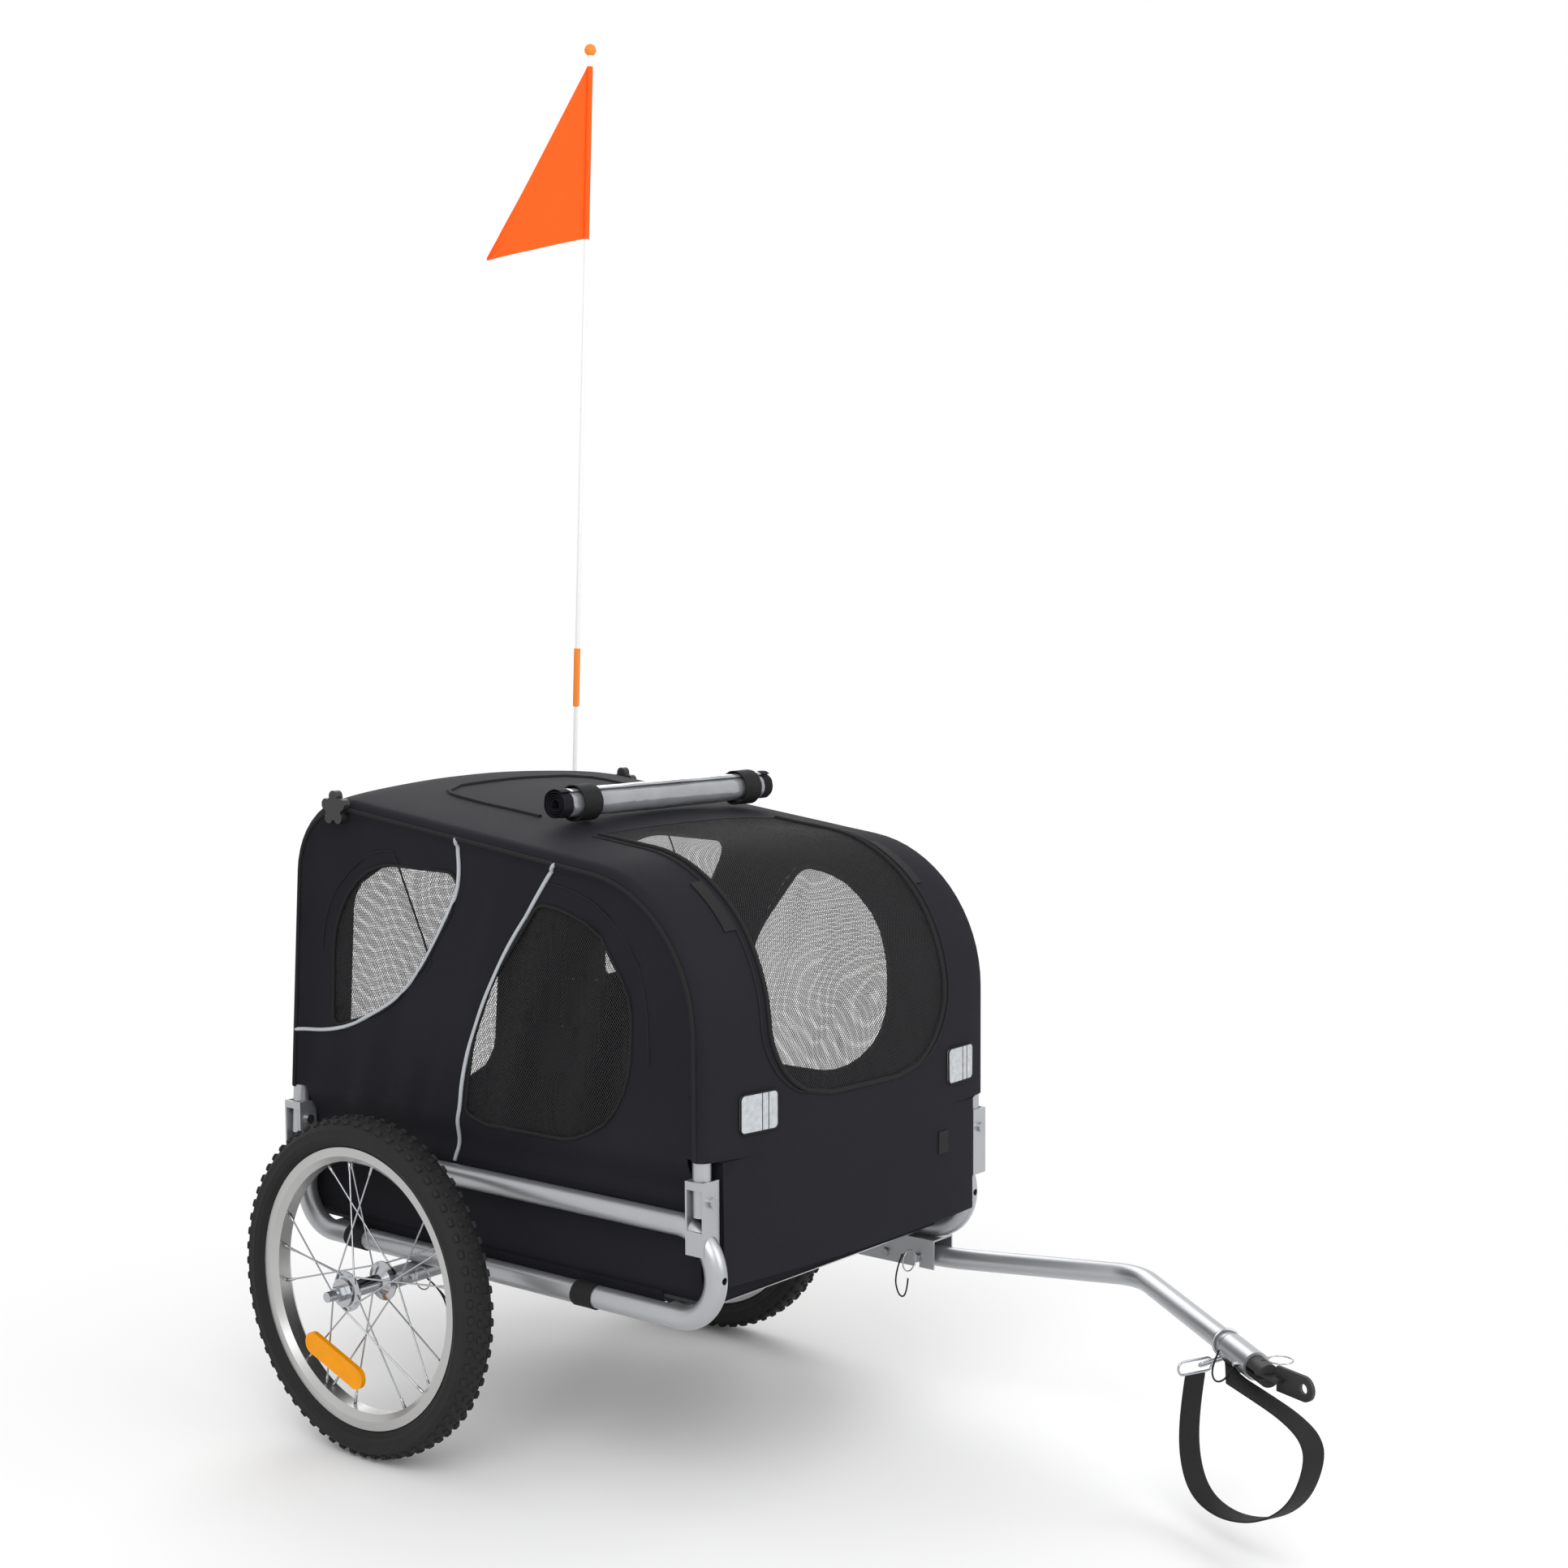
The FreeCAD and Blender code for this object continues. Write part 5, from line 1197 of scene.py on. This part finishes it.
class RainRoll(bpy.types.Operator):
    """Rolled clear rain cover with its dark hems and straps"""

    bl_idname = "trailer.rain_roll"
    bl_label = "Rolled rain cover"

    def execute(self, context):
        low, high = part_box("rain_roll")
        centre = middle("rain_roll")
        radius = (high[2] - low[2]) / 2
        run = 2 * math.pi * ROLL_TURNS * (ROLL_CORE + radius) / 2

        def place(share, y):
            swing = math.radians(200) - share * ROLL_TURNS * 2 * math.pi
            ripple = noise.noise(Vector((share * 9, y * 17, 1)))
            ripple += 0.9 * noise.noise(Vector((share * 64, y * 4, 4)))
            reach = ROLL_CORE + (radius - 0.0080) * share + 0.0013 * ripple * share
            return Vector((centre.x + reach * math.cos(swing), y, centre.z + reach * math.sin(swing)))

        spans = (
            ("roll_hem_right", low[1], low[1] + ROLL_HEM, 4, "cloth", "webbing", None),
            ("rain_roll_sheet", low[1] + ROLL_HEM, high[1] - ROLL_HEM, 46, "clear", None, "rain_roll"),
            ("roll_hem_left", high[1] - ROLL_HEM, high[1], 4, "cloth", "webbing", None),
        )
        for name, first, last, count, finish, slot, replaced in spans:
            rows = [[(share, y) for share in steps(0, 1, 150)] for y in steps(first, last, count)]
            piece = grid(rows, place, lambda share, y: (y, share * run))
            wound = max(run_of([place(*spot) for spot in row]) for row in rows)
            sheet(piece, name, finish, (last - first, wound), slot, ROLL_FILM, 0.0)
            attach(piece, node=replaced)
        low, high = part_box("roll_straps")
        reach = (high[2] - low[2]) / 2
        bands = [
            band(Vector((centre.x, y, centre.z)), reach - BAND_INSET, "Y")
            for y in (low[1] + BAND_WIDTH / 2, high[1] - BAND_WIDTH / 2)
        ]
        attach(settle(joined(bands), "roll_bands", "webbing"), node="roll_straps")
        return {"FINISHED"}


# Hook-and-loop patches as (first and last place along the cover, middle, width)
PATCHES = ((1.42, 1.68, -0.172, 0.016), (1.52, 1.82, 0.170, 0.016), (0.30, 0.40, 0.150, 0.02))
PATCH_LIFT = 0.0014
PATCH_THICK = 0.0012
TAB_BAY = 0.030
TAB_HALF = 0.027
TAB_INSET = 0.002
TAB_CORNER = 0.006
TAB_LIFT = 0.0022
TAB_THICK = 0.0018
TAB_EDGE = 0.0010
TAB_RIBS = (0.004, 0.013)
RIB_INSET = 0.003
RIB_LIFT = 0.0020
RIB = 0.0006


class FrontTrim(bpy.types.Operator):
    """Reflective tabs and hook-and-loop patches on the front"""

    bl_idname = "trailer.front_trim"
    bl_label = "Front trim"

    def execute(self, context):
        low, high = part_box("front_reflectors")
        foot, head = low[2] + TAB_INSET, high[2] - TAB_INSET
        heights = steps(low[2] + RIB_INSET, high[2] - RIB_INSET, 6)
        tabs = []
        edges = []

        def place(across, z, lift=TAB_LIFT):
            return cloth_point(turn_at_height(z), across, lift)

        for y in (low[1] + TAB_BAY, high[1] - TAB_BAY):
            right, left = y - TAB_HALF, y + TAB_HALF
            spots = ((right, foot), (left, foot), (left, head), (right, head))
            border = rounded([(spot, TAB_CORNER) for spot in spots])
            tab = fold_up(cut_flat([border], 0.009), place, Vector((1, 0, 0)))
            tabs.append(thicken(tab, TAB_THICK, -1.0))
            edges.append(wire([place(*spot) for spot in border], TAB_EDGE, closed=True))
            for across in TAB_RIBS:
                edges.append(wire([place(y + across, z, RIB_LIFT) for z in heights], RIB))
        attach(settle(joined(edges), "reflective_tab_edges", "binding"))
        attach(settle(joined(tabs), "reflective_tabs", "silver_tab"), node="front_reflectors")
        patches = []
        for first, last, y, width in PATCHES:
            rows = lattice(steps(first, last, 12), [y + across for across in steps(-width / 2, width / 2, 4)])
            patch = grid(rows, lambda turn, across: cloth_point(turn, across, PATCH_LIFT))
            patches.append(thicken(patch, PATCH_THICK, -1.0))
        attach(settle(joined(patches), "hook_patches", "webbing"))
        return {"FINISHED"}


# Straps and lanyards: routes are offsets in metres from where each one starts
def heading(yaw, pitch=0.0):
    """Unit vector at a compass angle from +X towards +Y and an angle above level, in degrees."""
    turn, rise = math.radians(yaw), math.radians(pitch)
    return Vector((math.cos(rise) * math.cos(turn), math.cos(rise) * math.sin(turn), math.sin(rise)))


TOW_BEND = Vector((0.691 + SHIFT, 0.268, 0.2033))
TOW_WAY = heading(-38.1, -0.8)
TOW_ACROSS = UP.cross(TOW_WAY).normalized()
TOW_END = TOW_BEND + TOW_WAY * 0.250
STRAP_ROUTE = (
    (0.012, -0.034), (0.002, -0.080), (0.003, -0.128), (0.022, -0.160), (0.065, -0.168), (0.117, -0.156),
    (0.160, -0.132), (0.188, -0.102), (0.204, -0.062), (0.196, -0.042), (0.165, -0.031), (0.120, -0.025),
    (0.080, -0.0205),
)
WHEEL_LANYARD = (
    (0.0, 0.0, 0.0), (0.026, 0.002, -0.008), (0.044, 0.006, -0.034), (0.066, 0.016, -0.038),
    (0.076, 0.026, -0.016), (0.056, 0.032, 0.004),
)
TOW_LANYARD = (
    (0.0, 0.0, 0.0), (-0.008, -0.006, -0.026), (0.004, -0.014, -0.048), (0.022, -0.022, -0.044),
    (0.026, -0.024, -0.020),
)
HITCH_LANYARD = (
    (0.0, 0.0, 0.0), (0.006, 0.012, -0.016), (0.028, 0.018, -0.024), (0.044, 0.012, -0.016),
    (0.050, 0.008, -0.002),
)
STRAP_START = TOW_BEND + Vector((0.158, -0.173, 0))
STRAP_WAY = heading(-24.1)
STRAP_ACROSS = UP.cross(STRAP_WAY)
STRAP_WIDTH = 0.026
STRAP_THICK = 0.0018
KEEPER_PLACE = TOW_BEND + TOW_WAY * 0.276
KEEPER_WIDTH = 0.022
KEEPER_RADIUS = 0.0164
KEEPER_ARC = (205, 380)
TONGUE = 0.0016
TONGUE_ANGLE = 222
LANYARD_RADIUS = 0.001
AXLE_PIN = (0.24667 - 0.034, 0.1863)
TOW_PIN = Vector((0.390 + SHIFT, 0.2116, 0.1885))
HITCH_PIN = TOW_END + TOW_WAY * 0.010 - TOW_ACROSS * 0.0162


class Straps(bpy.types.Operator):
    """Safety strap and the lock pins' lanyards"""

    bl_idname = "trailer.straps"
    bl_label = "Straps and lanyards"

    def execute(self, context):
        line = smooth_line([STRAP_START + STRAP_WAY * along + UP * drop for along, drop in STRAP_ROUTE])
        run = run_of(line)
        rows = lattice(range(len(line)), steps(-STRAP_WIDTH / 2, STRAP_WIDTH / 2, 6))
        ribbon = grid(
            rows, lambda index, wide: line[index] + STRAP_ACROSS * wide,
            lambda index, wide: (wide, index * run / len(line)),
        )
        thicken(ribbon, STRAP_THICK)
        modify(ribbon, "BEVEL", width=0.0005, segments=2, limit_method="ANGLE")
        settle(ribbon, "safety_strap_webbing", "webbing")
        attach(ribbon, "tow_arm", "safety_strap", sinks=False)
        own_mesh(ribbon)
        self.keeper(line[-1])
        for name, side in SIDES:
            start = Vector((SHIFT, side * AXLE_PIN[0], AXLE_PIN[1]))
            route = [start + Vector((x, side * y, z)) for x, y, z in WHEEL_LANYARD]
            self.lanyard("lanyard_" + name, route, "chassis")
        tow = self.lanyard("lanyard_tow", [TOW_PIN + Vector(offset) for offset in TOW_LANYARD], "chassis")
        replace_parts(tow, "pin_lanyards")
        route = [
            HITCH_PIN + TOW_WAY * along - TOW_ACROSS * out + UP * rise for along, out, rise in HITCH_LANYARD
        ]
        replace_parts(self.lanyard("lanyard_hitch", route, "tow_arm"), "hitch_lanyard")
        return {"FINISHED"}

    def keeper(self, strap_end):
        """Webbing under the sleeve and up its far side, with the tongue that the strap is sewn to."""
        rise = TOW_WAY.cross(TOW_ACROSS)
        half = KEEPER_WIDTH / 2

        def round_sleeve(angle, along):
            swing = math.radians(angle)
            out = TOW_ACROSS * math.cos(swing) + rise * math.sin(swing)
            return KEEPER_PLACE + TOW_WAY * along + out * KEEPER_RADIUS

        def sewn(share, side):
            edge = strap_end + STRAP_ACROSS * (STRAP_WIDTH / 2) * side
            return edge.lerp(round_sleeve(TONGUE_ANGLE, half * side), share)

        loop = grid(lattice(steps(*KEEPER_ARC, 24), steps(-half, half, 4)), round_sleeve)
        thicken(loop, WEBBING)
        tongue = thicken(grid(lattice(steps(0, 1, 8), steps(-1, 1, 4)), sewn), TONGUE)
        attach(settle(joined([loop, tongue]), "strap_keeper", "webbing"), "tow_arm", sinks=False)

    def lanyard(self, name, route, body):
        """A thin black cord that hangs from one point and ends in a pin's ring."""
        cord = nurbs(name, route, LANYARD_RADIUS)
        cord.data.materials.append(finishes()["webbing"])
        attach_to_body(cord, body)
        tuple(route[0])
        run_of(smooth_line(route))
        return cord


POLE_X, POLE_Y, POLE_Z = -0.2025, 0.262, 0.888
POLE_LEAN = 2.7
FLY_HEADING = 236
PENNANT_TOP = 1.712
PENNANT_LOW = 1.484
PENNANT_FLY = 0.138
PENNANT_DROP = 0.035
PENNANT_TIP = 0.985
PENNANT_GAP = 0.0035
PENNANT_THICK = 0.0007
PENNANT_SLEEVE = 0.0042


class Flag(bpy.types.Operator):
    """Orange pennant with its sleeve"""

    bl_idname = "trailer.flag"
    bl_label = "Pennant"

    def execute(self, context):
        lean = math.tan(math.radians(POLE_LEAN))

        def pole(z):
            return Vector((POLE_X + (z - POLE_Z) * lean + SHIFT, POLE_Y, z))

        fly = heading(FLY_HEADING)
        bulge = UP.cross(fly)
        top, low = pole(PENNANT_TOP), pole(PENNANT_LOW)
        tip = low + fly * PENNANT_FLY - UP * PENNANT_DROP
        rows = lattice(steps(0, PENNANT_TIP, 26), steps(0, 1, 24))

        def place(out, rise):
            spot = (low.lerp(top, rise) + fly * PENNANT_GAP).lerp(tip, out)
            wave = 0.009 * math.sin(out * math.pi) + 0.004 * out * noise.noise(Vector((out * 5, rise * 3, 2)))
            ripple = 0.003 * out * math.sin(out * 9 + rise * 3)
            return spot + bulge * (wave + ripple)

        cloth = grid(rows, place, lambda out, rise: (out * 0.15, rise * 0.228))
        span = top.z - tip.z, (tip - low).to_2d().length
        sheet(cloth, "pennant_cloth", "orange", span, thick=PENNANT_THICK, offset=0.0)
        attach(cloth, "flag", "pennant", sinks=False)
        sleeve = wire([low.lerp(top, share) for share in steps(0, 1, 20)], PENNANT_SLEEVE)
        attach(settle(sleeve, "pennant_sleeve", "orange"), "flag", sinks=False)
        return {"FINISHED"}


# Lamps as (name, place, size, power)
LAMPS = (
    ("key", (1.6, -2.4, 2.6), 2.4, 60.0),
    ("fill", (2.8, 0.6, 1.8), 2.2, 34.0),
    ("back", (-2.4, 1.8, 2.6), 2.4, 40.0),
)
LAMP_AIM = Vector((0, 0, 0.45))
SKY_STRENGTH = 0.72
FLOOR_MATT = {"Base Color": (0.90, 0.90, 0.90, 1), "Roughness": 0.9, "Specular IOR Level": 0.1}
FLOOR_NEAR = 0.55
FLOOR_FAR = 1.50
SENSOR = 36
LENS = 51.80
CAMERA_RIGHT = Vector((0.777766, 0.628530, -0.005446))
CAMERA_UP = Vector((-0.041956, 0.060559, 0.997282))
CAMERA_PLACE = (1.990895 + SHIFT, -1.993686, 0.968823)
WHITE = (1, 1, 1, 1)


class Stage(bpy.types.Operator):
    """Pale floor, soft lamps and the camera"""

    bl_idname = "trailer.stage"
    bl_label = "Stage"

    def execute(self, context):
        scene = context.scene
        self.floor()
        scene.world = bpy.data.worlds.new("Studio")
        scene.world.use_nodes = True
        sky = scene.world.node_tree
        light = supply(sky, sky.nodes["Background"], {"Color": WHITE, "Strength": SKY_STRENGTH})
        self.mixed(sky, self.seen(sky), light, node(sky, "Background", {"Color": WHITE}), "World Output")
        for name, place, size, power in LAMPS:
            lamp = bpy.data.lights.new(name, "AREA")
            lamp.size = size
            lamp.energy = power
            holder = bpy.data.objects.new(name, lamp)
            holder.location = place
            holder.rotation_euler = (LAMP_AIM - Vector(place)).to_track_quat("-Z", "Y").to_euler()
            scene.collection.objects.link(holder)
        lens = bpy.data.cameras.new("photograph")
        lens.sensor_width = SENSOR
        lens.lens = LENS
        camera = bpy.data.objects.new("photograph", lens)
        turn = Matrix((CAMERA_RIGHT, CAMERA_UP, CAMERA_RIGHT.cross(CAMERA_UP))).transposed()
        camera.matrix_world = Matrix.Translation(CAMERA_PLACE) @ turn.to_4x4()
        scene.collection.objects.link(camera)
        scene.camera = camera
        scene.view_settings.view_transform = "Standard"
        return {"FINISHED"}

    def floor(self):
        """A pale floor that takes shadows near the trailer and goes over into the white backdrop."""
        deselect()
        bpy.ops.mesh.primitive_plane_add(size=60, location=(0, 0, -0.0005))
        floor = bpy.context.object
        floor.name = "stage_floor"
        paint = bpy.data.materials.new("Stage white")
        paint.use_nodes = True
        tree = paint.node_tree
        near = supply(tree, tree.nodes["Principled BSDF"], FLOOR_MATT)
        place = node(tree, "TexCoord").outputs["Object"]
        reach = node(tree, "VectorMath", {0: place}, operation="LENGTH").outputs["Value"]
        limits = {"Value": reach, "From Min": FLOOR_NEAR, "From Max": FLOOR_FAR}
        far = node(tree, "MapRange", limits, interpolation_type="SMOOTHSTEP").outputs["Result"]
        seen = maths(tree, "MULTIPLY", far, self.seen(tree))
        self.mixed(tree, seen, near, node(tree, "Emission"), "Material Output")
        floor.data.materials.append(paint)

    def mixed(self, tree, factor, first, second, end):
        """Mixes two shaders and feeds a tree's end node."""
        mix = node(tree, "MixShader", {0: factor, 1: first.outputs[0], 2: second.outputs[0]})
        tree.links.new(mix.outputs["Shader"], tree.nodes[end].inputs["Surface"])

    def seen(self, tree):
        """1 where a camera, glossy or transmitted ray looks at the background."""
        path = tree.nodes.new("ShaderNodeLightPath")
        first = maths(tree, "MAXIMUM", path.outputs["Is Camera Ray"], path.outputs["Is Glossy Ray"])
        return maths(tree, "MAXIMUM", first, path.outputs["Is Transmission Ray"])


class FramePaint(bpy.types.Operator):
    """Finishes of the solid frame nodes that stay in view"""

    bl_idname = "trailer.frame_paint"
    bl_label = "Frame finishes"

    def execute(self, context):
        by_slot = {
            "silver_paint": "silver", "zinc": "zinc", "hub_steel": "chrome", "rim": "alloy", "tyre": "rubber",
            "amber": "amber", "cloth": "cloth", "mesh": "net", "webbing": "webbing", "board": "board",
            "silver_tab": "silver_tab", "clear_roll": "clear", "black_plastic": "plastic",
            "black_rubber": "core", "black_steel": "plate", "pole": "pole",
            "orange_plastic": "orange_plastic", "orange_cloth": "orange",
        }
        slots = {part["node"]: part["material_slot"] for part in frame["record"]["subparts"]}
        for name, node in frame["nodes"].items():
            for held in node.material_slots:
                held.material = finishes()[by_slot[slots[name]]]
        return {"FINISHED"}


class TrailerPanel(bpy.types.Panel):
    """Buttons and sizes of the trailer"""

    bl_idname = "VIEW3D_PT_trailer"
    bl_label = "Dog bike trailer"
    bl_space_type = "VIEW_3D"
    bl_region_type = "UI"
    bl_category = "Trailer"

    def draw(self, context):
        for operator in OPERATORS:
            self.layout.operator(operator.bl_idname)
        for holder in (context.scene.trailer_sizes, context.scene.trailer_colours):
            for key in holder.__annotations__:
                self.layout.prop(holder, key)


OPERATORS = (
    FramePaint, FrontCover, RoofCover, SideCover, LowerTub, Tyres, RainRoll, FrontTrim, Straps, Flag, Stage,
)
CLASSES = (TrailerSizes, TrailerColours) + OPERATORS + (TrailerPanel,)


def register():
    """Registers the classes and hangs the sizes and colours on the scene."""
    for kind in CLASSES:
        bpy.utils.register_class(kind)
    bpy.types.Scene.trailer_sizes = bpy.props.PointerProperty(type=TrailerSizes)
    bpy.types.Scene.trailer_colours = bpy.props.PointerProperty(type=TrailerColours)


def unregister():
    """Takes the classes and the scene's sizes and colours away again."""
    del bpy.types.Scene.trailer_colours
    del bpy.types.Scene.trailer_sizes
    for kind in reversed(CLASSES):
        bpy.utils.unregister_class(kind)


def main():
    """Builds every piece."""
    register()
    for operator in OPERATORS:
        space, call = operator.bl_idname.split(".")
        getattr(getattr(bpy.ops, space), call)()


if __name__ == "__main__":
    main()
